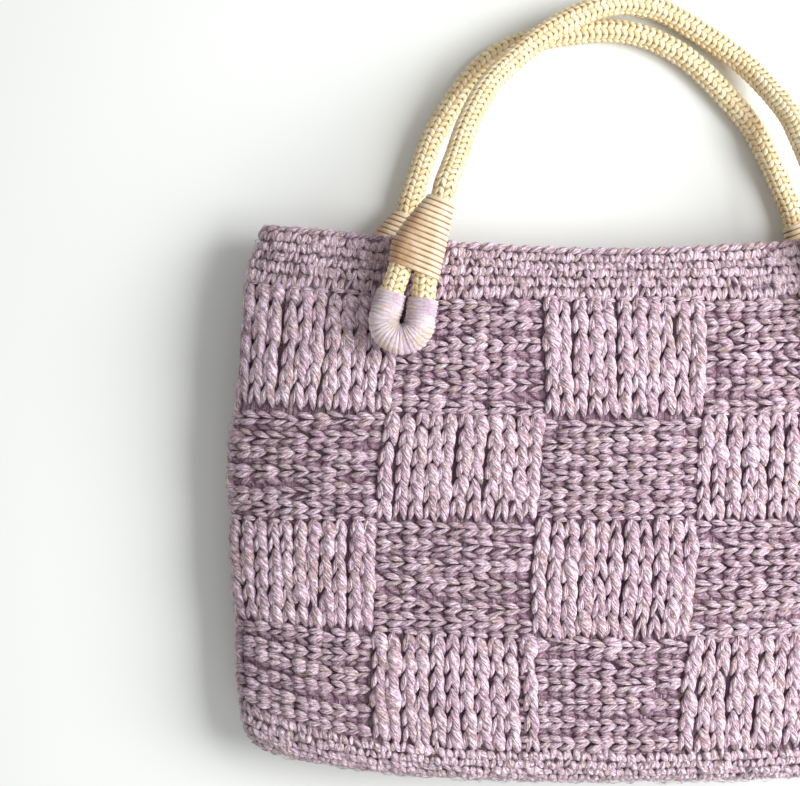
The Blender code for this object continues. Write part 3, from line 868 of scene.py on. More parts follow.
PLUMP_LEG = Form(2.8 * MM, 2.0 * MM, 0.9 * MM, 0.62, 0.36, 0.36)
THIN_LEG = Form(2.05 * MM, 1.7 * MM, 0.5 * MM, 0.6, 0.5, 0.5, steady=True)
FOLD_PLUMP_LEG = Form(2.9 * MM, 2.1 * MM, 0.9 * MM, 0.62, 0.36, 0.36)
FOLD_THIN_LEG = Form(2.2 * MM, 1.7 * MM, 0.5 * MM, 0.6, 0.5, 0.5, steady=True)
BLOCK_CAP = Form(1.5 * MM, 1.7 * MM, 0.9 * MM, 0.7, 0.7, 0.5)
CHAIN_LEG = Form(1.7 * MM, 2.1 * MM, 1.1 * MM, 0.5, 0.45, 0.42)
VALLEY = Form(2.3 * MM, 1.6 * MM, 0.4 * MM, 0.6, 0.6, 0.5, steady=True)
ROUND_LEG = Form(1.8 * MM, 1.6 * MM, 0.9 * MM, 0.7, 0.6, 0.42)
EDGE_LEG = Form(1.9 * MM, 1.9 * MM, 0.4 * MM, 0.5, 0.45, 0.45)
ROPE_FLOAT = Form(1.6 * MM, 0.62 * MM, 0.30 * MM, 0.9, 0.9, 0.5)
LOOSE_FIBRE = Form(1.0 * MM, 1.0 * MM, 0.0, 0.3, 0.3, 0.5)
STRAIGHT = (0.0, 0.0, 0.0)
PLY_STEP, ROW_STEP = 0.011, 3.1
FACE_ORDER = Vector((1.0, 37.0, 1300.0))


@dataclass
class StrandBed:
    """Plump strands laid on one surface, made into one mesh of repeated spindles.

    The depth that finishes read is 0 at the base height and 1 at the crest, both over the surface; the
    finishes paint shade where it is low.
    """

    surface: Surface
    seed: int
    base: float
    crest: float
    sides: int = 7
    rings: int = 6
    facing: int = 1
    rows: list = field(default_factory=list)
    dice: np.random.Generator = field(init=False)

    def __post_init__(self) -> None:
        """Seeds the source of the small irregularities."""
        self.dice = np.random.default_rng(self.seed)

    def add(
        self, start: tuple, end: tuple, form: Form, bend: tuple, fat: float, run: float, tone: float
    ) -> None:
        """Adds one strand.

        Args:
            start: u, v and height of its first end.
            end: u, v and height of its other end.
            form: which kind of strand.
            bend: what its middle is moved by in u, v and height, besides the form's belly.
            fat: how many times its form's width it is, and its thickness unless that is steady.
            run: how far along the yarn it is.
            tone: a number that sets its shade apart.
        """
        belly = (*bend[:2], self.facing * form.belly + bend[2])
        half = (form.width * fat, form.thickness * (1.0 if form.steady else fat))
        ends = (form.first_end, form.last_end, form.widest_at)
        self.rows.append((*start, *end, *belly, *half, *ends, run, tone))

    def mesh(self, name: str) -> bpy.types.Mesh:
        """Makes the strands.

        Args:
            name: the mesh's name.

        Returns:
            The mesh, with the strand and yarn attributes that the finishes read.
        """
        step, bluntness = 0.03, 0.7
        template = bmesh.new()
        bmesh.ops.create_uvsphere(template, u_segments=self.sides, v_segments=self.rings, radius=1.0)
        template.faces.sort(key=lambda face: face.calc_center_median().dot(FACE_ORDER))
        shape = np.array([v.co[:] for v in template.verts])
        rows = np.array(self.rows)
        made = repeated(template, len(rows))
        template.free()
        made.name = name
        t = (shape[:, 2] + 1) / 2
        ring = np.hypot(shape[:, 0], shape[:, 1])
        spoke = np.where(ring > 1e-4, ring, 1.0)
        cosine, sine = shape[:, 0] / spoke, shape[:, 1] / spoke
        cosine = np.where(ring > 1e-4, cosine, 1.0)

        def centre(at: np.ndarray) -> tuple[np.ndarray, np.ndarray]:
            """Finds the middles of every strand.

            Args:
                at: shares along them.

            Returns:
                The centre lines' points and the surface's directions there.
            """
            hump = 4 * at * (1 - at)
            u, v, h = (rows[:, k, None] * (1 - at) + rows[:, k + 3, None] * at
                       + rows[:, k + 6, None] * hump for k in range(3))
            point, normal = self.surface.lay(u, v)
            return point + normal * h[..., None], normal

        at = np.broadcast_to(t, (len(rows), len(t)))
        middle, normal = centre(at)
        ahead, _ = centre(np.minimum(at + step, 1.0))
        behind, _ = centre(np.maximum(at - step, 0.0))
        tangent = unit(ahead - behind)
        side = unit(np.cross(normal, tangent))
        upward = np.cross(tangent, side)
        first, last, peak = (rows[:, k, None] for k in (11, 12, 13))
        rise = first + (1 - first) * np.sin(np.clip(at / peak, 0, 1) * math.pi / 2)
        fall = last + (1 - last) * np.sin(np.clip((1 - at) / (1 - peak), 0, 1) * math.pi / 2)
        full = np.where(at < peak, rise, fall) * ring**bluntness
        out = (middle + side * (full * rows[:, 9, None] * cosine)[..., None]
               + upward * (full * rows[:, 10, None] * sine)[..., None])
        start, end, belly = (rows[:, k, None] for k in (2, 5, 8))
        height = start * (1 - at) + end * at + belly * 4 * at * (1 - at)
        height = height + np.sum((out - middle) * normal, axis=-1)
        depth = np.clip((height - self.base) / (self.crest - self.base), 0.0, 1.3)
        out[..., 2] = np.maximum(out[..., 2], FLOOR_CLEARANCE)
        made.vertices.foreach_set("co", out.astype(np.float32).ravel())
        reach = np.linalg.norm(out.max(axis=1) - out.min(axis=1), axis=-1)[:, None]
        run, tone = rows[:, 14, None], rows[:, 15, None]
        set_attribute(made, "strand", (cosine, sine, at * reach))
        set_attribute(made, "yarn", (run, tone, depth))
        made.update()
        return made


def set_attribute(mesh: bpy.types.Mesh, name: str, values: tuple) -> None:
    """Writes one vector for each vertex.

    Args:
        mesh: the mesh that gets it.
        name: the attribute's name.
        values: its three numbers, each for all vertices.
    """
    layer = mesh.attributes.new(name, "FLOAT_VECTOR", "POINT")
    vectors = np.stack(np.broadcast_arrays(*values), axis=-1)
    layer.data.foreach_set("vector", vectors.astype(np.float32).ravel())


def at_ends(v: np.ndarray) -> np.ndarray:
    """Which shares along a piece are its very ends."""
    return (v < 1e-9) | (v > 1 - 1e-9)


def wrapped_grid(name: str, columns: int, rows: int, place: Places) -> bpy.types.Mesh:
    """Wraps a flat grid into a closed skin.

    Args:
        name: the mesh's name.
        columns: faces round the skin.
        rows: faces along it.
        place: takes shares round and along, and returns points, strand values and yarn values.

    Returns:
        The skin, its seams and ends merged and its faces outwards.
    """
    mesh = bmesh.new()
    bmesh.ops.create_grid(mesh, x_segments=columns, y_segments=rows, size=1.0)
    flat = np.array([v.co[:] for v in mesh.verts])
    flat = (flat - flat.min(axis=0))[:, :2] / np.ptp(flat[:, :2], axis=0)
    points, strand, yarn = place(flat[:, 0], flat[:, 1])
    points[:, 2] = np.maximum(points[:, 2], FLOOR_CLEARANCE)
    layers = [mesh.verts.layers.float_vector.new(label) for label in ("strand", "yarn")]
    for vertex, point, first, second in zip(mesh.verts, points, strand, yarn):
        vertex.co = point
        vertex[layers[0]] = first
        vertex[layers[1]] = second
    bmesh.ops.remove_doubles(mesh, verts=mesh.verts[:], dist=2e-6)
    bmesh.ops.dissolve_degenerate(mesh, edges=mesh.edges[:], dist=1e-6)
    bmesh.ops.recalc_face_normals(mesh, faces=mesh.faces[:])
    made = bpy.data.meshes.new(name)
    mesh.to_mesh(made)
    mesh.free()
    return made


@dataclass
class KnittedBag:
    """The bag body: a knitted lining, ribbed blocks, plain rounds, the edge chain and loose fibres."""

    yarn: bpy.types.Material
    rounds: bpy.types.Material
    lining: bpy.types.Material
    fuzz: bpy.types.Material
    wall: KnitWall = field(default_factory=KnitWall)
    level_pitch: float = 1 / BAG.level_ribs
    stitch_pitch: float = 1 / BAG.upright_ribs
    slub: float = 0.14
    slub_chance: float = 0.07
    plain_stitches: int = 150
    edge_stitches: int = 118
    fibres: int = 5000

    def build(self) -> None:
        """Builds every piece of the body."""
        self.build_lining()
        for front in (True, False):
            side = "front" if front else "back"
            for way in Way:
                bed = self.ribs(way, front)
                add_piece(f"{side}_{way.value}_ribs", bed.mesh("ribs"), self.yarn)
        for name, low, high, rounds, seed, lightness, finish in (
            # Painted light on the rim and base rounds, their lightness above 0; the mouth's inner rounds
            # are darker.
            ("rim", RIM_ROUNDS_LEVEL, RIM_LEVEL, 5, 61, 0.1, self.rounds),
            ("base", 0.0, BASE_LEVEL, 6, 62, 1.0, self.rounds),
            ("mouth", 6.6, RIM_LEVEL, 2, 63, -0.2, self.yarn),
        ):
            bed = self.plain_rounds(low, high, rounds, seed, lightness, inside=name == "mouth")
            add_piece(f"{name}_rounds", bed.mesh(name), finish)
        add_piece("rim_edge_chain", self.edge_chain().mesh("edge"), self.yarn)
        add_piece("stray_fibres", self.stray_fibres().mesh("fibres"), self.fuzz)

    def build_lining(self) -> None:
        """Builds the closed skin behind the stitches: outer side, lip and inner wall, dark as painted shade
        between the stitches.
        """
        outer_rows, inner_rows, columns, sunk = 57, 40, 240, 1.3 * MM
        outer = [(level, sunk, 0.0) for level in np.linspace(0.0, RIM_LEVEL, outer_rows)]
        lip = [(RIM_LEVEL, share * BAG.wall, 0.5 * BAG.lip_rise) for share in (0.25, 0.5, 0.75)]
        inner = [(level, BAG.wall, 0.0) for level in np.linspace(RIM_LEVEL, 0.0, inner_rows)]
        rings = outer + lip + inner

        def place(u: np.ndarray, v: np.ndarray) -> tuple[np.ndarray, np.ndarray, np.ndarray]:
            """Places the grid on the rings, closer together at the folds.

            Args:
                u: shares round the bag.
                v: shares along the rings, from the outside of the base to its inside.

            Returns:
                Points, strand values and yarn values.
            """
            side = np.where(u < 0.5, u * 2, u * 2 - 1)
            around = (0.5 - 0.5 * np.cos(math.pi * side) + (u >= 0.5)) * BAG.blocks
            around = np.where(u >= 1.0 - 1e-9, AROUND, around)
            row = np.rint(v * (len(rings) - 1)).astype(int)
            points = np.zeros((len(u), 3))
            inside = (row >= len(outer) + 1).astype(float)
            for k, (level, inset, rise) in enumerate(rings):
                chosen = row == k
                points[chosen] = wall_ring(around[chosen], level, inset, rise)
            points[:, 2] = np.maximum(points[:, 2], FLOOR_CLEARANCE + 0.5 * MM)
            levels = np.array([level for level, _, _ in rings])[row]
            plain = ((levels > RIM_ROUNDS_LEVEL) | (levels < BASE_LEVEL)) * (1 - inside)
            run = around * BAG.block_width
            strand = np.stack((run, points[:, 1], inside), axis=-1)
            # Painted shade: the outer side behind the blocks is darkest; behind the plain rounds and inside
            # it is lighter.
            yarn = np.stack((run, plain * 1.4, 0.30 + inside * 0.5 + plain * 0.4), axis=-1)
            return points, strand, yarn

        mesh = wrapped_grid("lining", columns, len(rings) - 1, place)
        piece = add_piece("knitted_lining", mesh, self.lining)
        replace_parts(piece, "bag_shell")

    def ribs(self, way: Way, front: bool) -> StrandBed:
        """Lays the stitches of one side's blocks that run one way.

        Args:
            way: which blocks.
            front: whether it is the front.

        Returns:
            The bed of strands.
        """
        sides, rings = (7, 6) if front else (6, 5)
        seed = 10 + 2 * front + (way is Way.UPRIGHT)
        bed = StrandBed(self.wall, seed, -1.5 * MM, 2.4 * MM, sides, rings)
        first = 0 if front else BAG.blocks
        for column in range(first, first + BAG.blocks):
            for row in range(BAG.rows):
                upright = (column + row) % 2 == 1
                if upright == (way is Way.UPRIGHT):
                    lay = self.upright_block if upright else self.level_block
                    lay(bed, column, BASE_LEVEL + row)
        if way is Way.UPRIGHT:
            self.fold_plait(bed, BAG.blocks if front else 0)
        return bed

    def fold_plait(self, bed: StrandBed, fold: int) -> None:
        """Lays one upright plait along a fold, where the ribs of both sides stand further apart.

        Args:
            bed: the bed of strands.
            fold: the fold's place round the bag.
        """
        dice, p, s = bed.dice, self.stitch_pitch, self.level_pitch
        for k in range(BAG.rows * BAG.level_ribs):
            low = BASE_LEVEL + k * s + dice.normal(0.0, 0.07) * s
            u = fold + 0.08 * p + dice.normal(0.0, 0.03) * p
            fat = 1 + dice.normal(0.0, self.slub)
            run, tone = k * ROW_STEP + fold, dice.random()
            bed.add((u - 0.10 * p, low + 1.25 * s, -0.4 * MM), (u + 0.18 * p, low - 0.34 * s, -1.4 * MM),
                    FOLD_PLUMP_LEG, (0.03 * p, 0.0, 0.0), fat, run, tone)
            bed.add((u + 0.06 * p, low + 1.06 * s, -0.6 * MM), (u - 0.26 * p, low - 0.14 * s, -0.9 * MM),
                    FOLD_THIN_LEG, (-0.03 * p, 0.0, 0.0), fat, run + PLY_STEP, dice.random())

    def upright_block(self, bed: StrandBed, column: int, level: float) -> None:
        """Lays one block of upright plaits: a plump leg down to the right over a thin one to the left.

        Args:
            bed: the bed of strands.
            column: the block's place round the bag.
            level: its lower border.
        """
        dice, p, s = bed.dice, self.stitch_pitch, self.level_pitch
        sway = dice.normal(0.0, 1.0, 4)
        for rib in range(BAG.upright_ribs):
            lean = dice.normal(0.0, 0.04) * p
            bend = dice.normal(0.0, 0.07) * p
            slip = dice.normal(0.0, 0.12) * s
            for k in range(BAG.level_ribs):
                b = np.clip((k + 0.5) * s, 0.0, 1.0)
                u = column + (rib + 0.5) * p + lean + bend * math.sin(math.pi * b)
                u += dice.normal(0.0, 0.05) * p
                u += 0.06 * p * sway[0] * math.sin(3.0 * b + sway[1])
                low = level + (k + 0.08) * s + slip * b * (1 - b) * 4 + dice.normal(0.0, 0.07) * s
                a = u - column
                across = max(math.sin(math.pi * a), 0.0)
                puff = (BAG.puff + 0.5 * MM) * across * math.sin(math.pi * b) + 1.0 * MM * (1 - across) ** 2
                puff -= 0.8 * MM * abs(2 * b - 1) ** 5 + dice.normal(0.0, 0.15) * MM - 0.3 * MM
                slub = 1.0 if dice.random() < self.slub_chance else 0.0
                fat = 1 + dice.normal(0.0, self.slub) + 0.30 * slub
                run = (column + rib * p) * BAG.block_width + (level * 6 + k) * ROW_STEP
                tone = dice.random() + 0.6 * slub
                skew = dice.normal(0.0, 0.07) * p
                top = min(1.25, (0.98 - k * s) / s)
                bed.add((u - 0.16 * p - skew, low + top * s, 0.1 * MM + puff),
                        (u + 0.30 * p + skew, low - 0.34 * s, -1.0 * MM + puff),
                        PLUMP_LEG, (0.06 * p, 0.0, 0.0), fat, run, tone)
                bed.add((u - 0.02 * p, low + 1.06 * s, -0.1 * MM + puff),
                        (u - 0.46 * p, low - 0.14 * s, -0.4 * MM + puff),
                        THIN_LEG, (-0.05 * p, 0.0, 0.0), fat, run + PLY_STEP, dice.random())
            rise = level + 1.0 + dice.normal(0.0, 0.07) * s
            bed.add((u - 0.50 * p, rise, -0.1 * MM), (u + 0.52 * p, rise - 0.08 * s, -0.1 * MM),
                    BLOCK_CAP, (0.0, 0.08 * s, 0.0), 1.0, run + 0.03, dice.uniform(0.3, 1.0))

    def level_block(self, bed: StrandBed, column: int, level: float) -> None:
        """Lays one block of level chains: two plump legs that meet on the right, one V after another.

        Args:
            bed: the bed of strands.
            column: the block's place round the bag.
            level: its lower border.
        """
        dice, p, s = bed.dice, self.stitch_pitch, self.level_pitch
        for rib in range(BAG.level_ribs):
            wave = dice.normal(0.0, 0.11, 2) * s
            turn = dice.random() * 6
            for k in range(-1, BAG.upright_ribs):
                share = np.clip((k + 0.8) * p, 0.0, 1.0)
                u = column + (k + 0.1) * p + dice.normal(0.0, 0.08) * p
                v = level + (rib + 0.5) * s + wave[0] * 0.5 + wave[1] * math.sin(4 * share + turn)
                v += dice.normal(0.0, 0.05) * s
                puff = BAG.puff * math.sin(math.pi * share) - 0.9 * MM * abs(2 * share - 1) ** 6
                puff += dice.normal(0.0, 0.15) * MM - 0.5 * MM
                slub = 1.0 if dice.random() < self.slub_chance else 0.0
                fat = 1 + dice.normal(0.0, self.slub) + 0.32 * slub
                run = u * BAG.block_width + (level * 6 + rib) * ROW_STEP
                tone = dice.random() + 0.6 * slub
                for up in (1, -1):
                    wide = fat * (1.0 + dice.normal(0.0, 0.08)) * (1.0 if up > 0 else 0.94)
                    spread = up * (0.245 + dice.normal(0.0, 0.04)) * s
                    tip = u + (0.98 + dice.normal(0.0, 0.10)) * p
                    point = v + (up * 0.02 + dice.normal(0.0, 0.03)) * s
                    bed.add((u - 0.42 * p, v + spread, 0.2 * MM + puff), (tip, point, 0.2 * MM + puff),
                            CHAIN_LEG, (0.0, up * 0.05 * s, 0.0), wide, run + 0.009 * up, tone)
                slant = dice.normal(0.12, 0.15)
                sunk = max(puff, -0.2 * MM) - 1.8 * MM
                # The sunk valley strand's tone is lowered by 0.4: painted shade in the valley.
                bed.add((u - 0.40 * p, v - (0.5 - slant) * s, sunk),
                        (u + 0.90 * p, v - (0.5 + slant) * s, sunk),
                        VALLEY, STRAIGHT, fat, run + 0.02, tone - 0.4)

    def plain_rounds(
        self, low: float, high: float, rounds: int, seed: int, lightness: float, inside: bool = False
    ) -> StrandBed:
        """Lays rounds of small plain stitches, each a short V.

        Args:
            low: level where they begin.
            high: level where they end.
            rounds: how many.
            seed: for the small irregularities.
            lightness: added to each stitch's tone; painted light where it is positive.
            inside: whether they face the inside of the bag.

        Returns:
            The bed of strands.
        """
        skin, way = (-BAG.wall, -1) if inside else (0.0, 1)
        base, crest = skin - way * 3.2 * MM, skin + way * 1.4 * MM
        bed = StrandBed(self.wall, seed, base, crest, sides=6, rings=5, facing=way)
        dice, p, s = bed.dice, 1 / self.plain_stitches, (high - low) / rounds
        for k in range(rounds):
            level = low + (k + 0.5) * s
            phase = dice.random() * 6
            for n in range(self.plain_stitches):
                share = (n + 0.37 * k + dice.normal(0.0, 0.10)) * p
                u = self.wall.even(share, level)
                v = level + (dice.normal(0.0, 0.09) + 0.08 * math.sin(1.3 * n / 3 + phase)) * s
                fat = 1 + dice.normal(0.0, 1.3 * self.slub)
                run = u * BAG.block_width + (low * 10 + k) * 2.3
                tone = dice.random() + lightness
                lean = (0.22 if k % 2 else -0.22) + dice.normal(0.0, 0.12)
                lift = dice.normal(0.0, 0.2) * MM
                for side in (1, -1):
                    head = self.wall.even(share + 0.48 * side * p, level)
                    foot = self.wall.even(share + (lean + 0.06 * side) * p, level)
                    top = v + (0.50 + dice.normal(0.0, 0.10)) * s
                    bed.add((head, top, skin + way * (lift - 0.1 * MM)),
                            (foot, v - 0.58 * s, skin + way * (lift - 0.5 * MM)),
                            ROUND_LEG, STRAIGHT, fat, run + 0.007 * side, tone)
        return bed

    def edge_chain(self) -> StrandBed:
        """Lays the chain along the rim's edge, one V leaning on the next.

        Returns:
            The bed of strands.
        """
        bed = StrandBed(self.wall, 71, -14 * MM, 1.0 * MM)
        dice, p = bed.dice, 1 / self.edge_stitches
        for n in range(self.edge_stitches):
            share = (n + dice.normal(0.0, 0.04)) * p
            u, ahead, behind = (self.wall.even(share + k * p, RIM_LEVEL) for k in (0.0, 1.0, -0.45))
            fat = 1 + dice.normal(0.0, self.slub)
            tone = dice.random()
            for outside in (True, False):
                deep = 0.7 * MM if outside else BAG.wall - 0.7 * MM
                mid = 2.6 * MM if outside else BAG.wall - 2.6 * MM
                bed.add((behind, RIM_LEVEL, -deep), (ahead, RIM_LEVEL + 0.08, -mid), EDGE_LEG,
                        (0.0, 0.05, 0.0), fat, u * BAG.block_width + 40.0, tone)
        return bed

    def stray_fibres(self) -> StrandBed:
        """Scatters thin fibres that have worked loose over the stitches.

        Returns:
            The bed of fibres.
        """
        bed = StrandBed(self.wall, 83, -10 * MM, 1.0 * MM, sides=3, rings=4)
        dice = bed.dice
        for _ in range(self.fibres):
            u, v = dice.uniform(0.0, AROUND), dice.uniform(0.1, 6.9)
            turn, reach = dice.uniform(0.0, math.pi), dice.uniform(2.5, 5.5) * MM
            du, dv = math.cos(turn) * reach / BAG.block_width, math.sin(turn) * reach / BAG.row_height
            low, high = dice.uniform(0.6, 2.2, 2) * MM
            bend = dice.normal(0.0, 0.012, 2)
            fat = dice.uniform(0.09, 0.16)
            bend = (*bend, dice.uniform(0.5, 1.6) * MM)
            bed.add((u - du, v - dv, low), (u + du, v + dv, high), LOOSE_FIBRE, bend, fat,
                    u * BAG.block_width, dice.random())
        return bed


@dataclass
class HandleEnd:
    """One sewn-on handle end: the rope round its eye, the wound yarn and the lace binding.

    It lies at shares of the bag's half width and height, leans to the right by some degrees, and has the
    rope's cut tail on one side.
    """

    name: str
    on_front: bool
    across: float
    up: float
    lean: float
    tail_side: int
    yarn_turns: int = 32
    yarn_turn_length: float = 0.045
    lace_turns: int = 14
    lace_tilt: float = 0.16

    def __post_init__(self) -> None:
        """Finds where the end lies, from the part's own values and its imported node."""
        self.middle = Vector((self.across * BAG.half_width, self.up * BAG.height + TOP, 0.0))
        angle = math.radians(self.lean)
        self.along = Vector((math.sin(angle), math.cos(angle), 0.0))
        self.side = Vector((math.cos(angle), -math.sin(angle), 0.0)) * -self.tail_side
        self.pitch = math.tan(ROPE.front_pitch) if self.on_front else 0.0
        low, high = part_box(f"{self.name}_eye_rope")
        self.height = (low.z + high.z) / 2 + self.pitch * (ROPE.top - ROPE.bend) / 2

    def place(self, h: float, v: float, z: float = 0.0) -> Vector:
        """Turns a place on the handle end into the model's frame.

        Args:
            h: distance across the end.
            v: distance along it.
            z: height over its middle.

        Returns:
            The point.
        """
        point = self.middle + self.side * h + self.along * v
        point.z = self.height - self.pitch * v + z
        return point

    def offset(self, v: float) -> float:
        """Distance of each leg from the middle line: wide at the eye, close in the binding."""
        stations = (0.0, ROPE.wrap_rise, ROPE.binding_start)
        return float(np.interp(v, stations, (ROPE.bend, ROPE.wrap_radius + ROPE.seat / 2, ROPE.leg)))

    def route(self, start: float, end: float, steps: int = 24) -> list[Vector]:
        """Centre line from the standing leg, round the eye, to the tail leg.

        Args:
            start: distance up the standing leg.
            end: distance up the tail leg.
            steps: pieces in the bend.

        Returns:
            The points.
        """
        down, up = np.linspace(start, 0.0, 20)[:-1], np.linspace(0.0, end, 20)[1:]
        flat = [(self.offset(v), v) for v in down]
        for k in range(steps + 1):
            a = math.pi * k / steps
            flat.append((ROPE.bend * math.cos(a), -ROPE.bend * math.sin(a)))
        flat += [(-self.offset(v), v) for v in up]
        return [self.place(h, v) for h, v in flat]

    def arch_start(self) -> tuple[Vector, Vector]:
        """Finds where the free arch leaves the binding.

        Returns:
            The point, and the direction in which the arch leaves.
        """
        tip = self.place(ROPE.leg, ROPE.top)
        direction = (tip - self.place(ROPE.leg, ROPE.top - ROPE.lace)).normalized()
        return tip + direction * ROPE.seat, direction

    def build(self, rope: bpy.types.Material, yarn: bpy.types.Material, lace: bpy.types.Material) -> None:
        """Builds the end's three pieces.

        Args:
            rope: finish of the rope.
            yarn: finish of the wound yarn.
            lace: finish of the lace.
        """
        route = self.route(ROPE.top, ROPE.binding_start + ROPE.tail)
        mesh = Braid(Tube(route, ROPE.radius), 5).mesh(f"{self.name}_eye_braid")
        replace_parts(add_piece(f"{self.name}_eye_braid", mesh, rope), f"{self.name}_eye_rope")
        mesh = self.wound_yarn()
        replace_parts(add_piece(f"{self.name}_wound_yarn", mesh, yarn), f"{self.name}_eye_wrap")
        mesh = self.wound_lace()
        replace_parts(add_piece(f"{self.name}_lace_turns", mesh, lace), f"{self.name}_binding")

    def wound_yarn(self) -> bpy.types.Mesh:
        """Makes the yarn wound round the bend, one ridge for each turn.

        Returns:
            The mesh.
        """
        tube = Tube(self.route(ROPE.wrap_rise, ROPE.wrap_rise, 32), 1.0)
        turns = self.yarn_turns
        dice = np.random.default_rng(len(self.name) * 7 + int(self.on_front))
        wobble = dice.normal(0.0, 1.0, (turns + 2, 3))

        def place(u: np.ndarray, v: np.ndarray) -> tuple[np.ndarray, np.ndarray, np.ndarray]:
            """Places the skin, with its ends drawn in to the rope.

            Args:
                u: shares round the rope.
                v: shares along the bend.

            Returns:
                Points, strand values and yarn values.
            """
            angle = 2 * math.pi * u
            phase = v * turns + u + 0.35 * np.sin(angle + 9 * v) + 0.2 * np.sin(2 * angle + 23 * v)
            number = np.clip(np.floor(phase), 0, turns + 1).astype(int)
            within = phase - np.floor(phase)
            ridge = np.sqrt(np.clip(1 - (2 * within - 1) ** 2, 0, 1))
            lift = 0.22 * MM * wobble[number, 0] * ridge
            radius = ROPE.radius + 1.0 * MM + 0.7 * MM * ridge + lift
            centre, normal = tube.spokes(u, v * tube.length)
            points = centre + normal * np.where(at_ends(v), 0.0, radius)[:, None]
            spin = 2 * math.pi * within
            strand = np.stack((np.cos(spin), np.sin(spin), (u + number) * self.yarn_turn_length), axis=-1)
            tone = 0.8 + wobble[number, 1] * 0.25 + wobble[number // 5, 2] * 0.3
            # The ridge sets the depth, so the grooves between turns take the finish's painted shade.
            yarn = np.stack((number * 0.007 + u * 0.03, tone, 0.5 + 0.5 * ridge), axis=-1)
            return points, strand, yarn

        return wrapped_grid("wound_yarn", 26, turns * 6, place)

    def wound_lace(self) -> bpy.types.Mesh:
        """Makes the tapered binding, one flat band for each turn of the lace.

        Returns:
            The mesh.
        """
        turns = self.lace_turns
        taper_start = (ROPE.tail + ROPE.seat) / ROPE.binding_length

        def place(u: np.ndarray, v: np.ndarray) -> tuple[np.ndarray, np.ndarray, np.ndarray]:
            """Places the skin round both legs, narrowing to the standing leg.

            Args:
                u: shares round the legs.
                v: shares along the binding.

            Returns:
                Points, strand values and yarn values.
            """
            angle = 2 * math.pi * u
            phase = v * turns
            within = phase - np.floor(phase)
            band = np.sqrt(np.clip(1 - np.abs(2 * within - 1) ** 3.5, 0, 1))
            taper = np.maximum(0.0, (v - taper_start) / (1 - taper_start)) ** 1.3
            radius = ROPE.radius + 0.1 * MM + 1.0 * MM * band
            ends = at_ends(v)
            radius = np.where(ends, 0.0, radius)
            low = -ROPE.leg + 2 * ROPE.leg * taper
            middle = np.where(np.cos(angle) > 0, ROPE.leg, low)
            middle = np.where(ends, (ROPE.leg + low) / 2, middle)
            h = middle + radius * np.cos(angle)
            along = ROPE.binding_start + ROPE.binding_length * v - self.lace_tilt * h
            points = np.array([self.place(a, b, c) for a, b, c in zip(h, along, radius * np.sin(angle))])
            lace_width = ROPE.binding_length / turns
            strand = np.stack((h, within * lace_width, radius * np.sin(angle)), axis=-1)
            # The band sets the depth that the lace's painted shade and highlight follow.
            yarn = np.stack((phase, np.sin(angle), band), axis=-1)
            return points, strand, yarn

        return wrapped_grid("lace_turns", 44, turns * 8, place)


@dataclass
class Braid:
    """Braided rope: a core under herringbone columns of slanting floats."""

    tube: Tube
    seed: int
    columns: int = 12
    wanted_cell: float = 3.3 * MM
    reach: float = 0.60
    depth: float = 0.75 * MM
    core_depth: float = 0.7 * MM
    core_step: float = 2.2 * MM
    core_sides: int = 16

    def mesh(self, name: str) -> bpy.types.Mesh:
        """Makes the rope.

        Args:
            name: the mesh's name.

        Returns:
            The mesh, floats and core together.
        """
        floats, core = self.floats().mesh(name), self.core()
        joined = bmesh.new()
        joined.from_mesh(floats)
        joined.from_mesh(core)
        joined.to_mesh(floats)
        joined.free()
        bpy.data.meshes.remove(core)
        return floats

    def floats(self) -> StrandBed:
        """Lays the floats, each column slanting against the next.

        Returns:
            The bed of strands.
        """
        length = self.tube.length
        bed = StrandBed(self.tube, self.seed, -1.1 * MM, 0.1 * MM, sides=5, rings=4)
        dice = bed.dice
        count = int(length / self.wanted_cell)
        cell = length / count
        for column in range(self.columns):
            slant = 1 if column % 2 else -1
            left, right = (column - 0.10) / self.columns, (column + 1.10) / self.columns
            for k in range(count):
                v = (k + 0.5) * cell + dice.normal(0.0, 0.02) * cell
                wide = 1 + dice.normal(0.0, 0.04)
                rise = slant * self.reach * cell
                start, end = (max(min(place, length), 0.0) for place in (v - rise, v + rise))
                bed.add((left, start, -self.depth), (right, end, -self.depth), ROPE_FLOAT, STRAIGHT,
                        wide, v, dice.random())
        return bed

    def core(self) -> bpy.types.Mesh:
        """Makes the plain core under the floats.

        Returns:
            The mesh.
        """
        tube = self.tube

        def place(u: np.ndarray, v: np.ndarray) -> tuple[np.ndarray, np.ndarray, np.ndarray]:
            """Places the core, its ends drawn in to a point.

            Args:
                u: shares round it.
                v: shares along it.

            Returns:
                Points, strand values and yarn values.
            """
            angle = 2 * math.pi * u
            centre, normal = tube.spokes(u, v * tube.length)
            points = centre + normal * np.where(at_ends(v), 0.0, tube.radius - self.core_depth)[:, None]
            strand = np.stack((np.cos(angle), np.sin(angle), v * tube.length), axis=-1)
            # A depth of 0 gives the core the rope's full painted shade between the floats.
            return points, strand, np.stack((v, v * 0, v * 0), axis=-1)

        return wrapped_grid("core", self.core_sides, max(int(tube.length / self.core_step), 4), place)


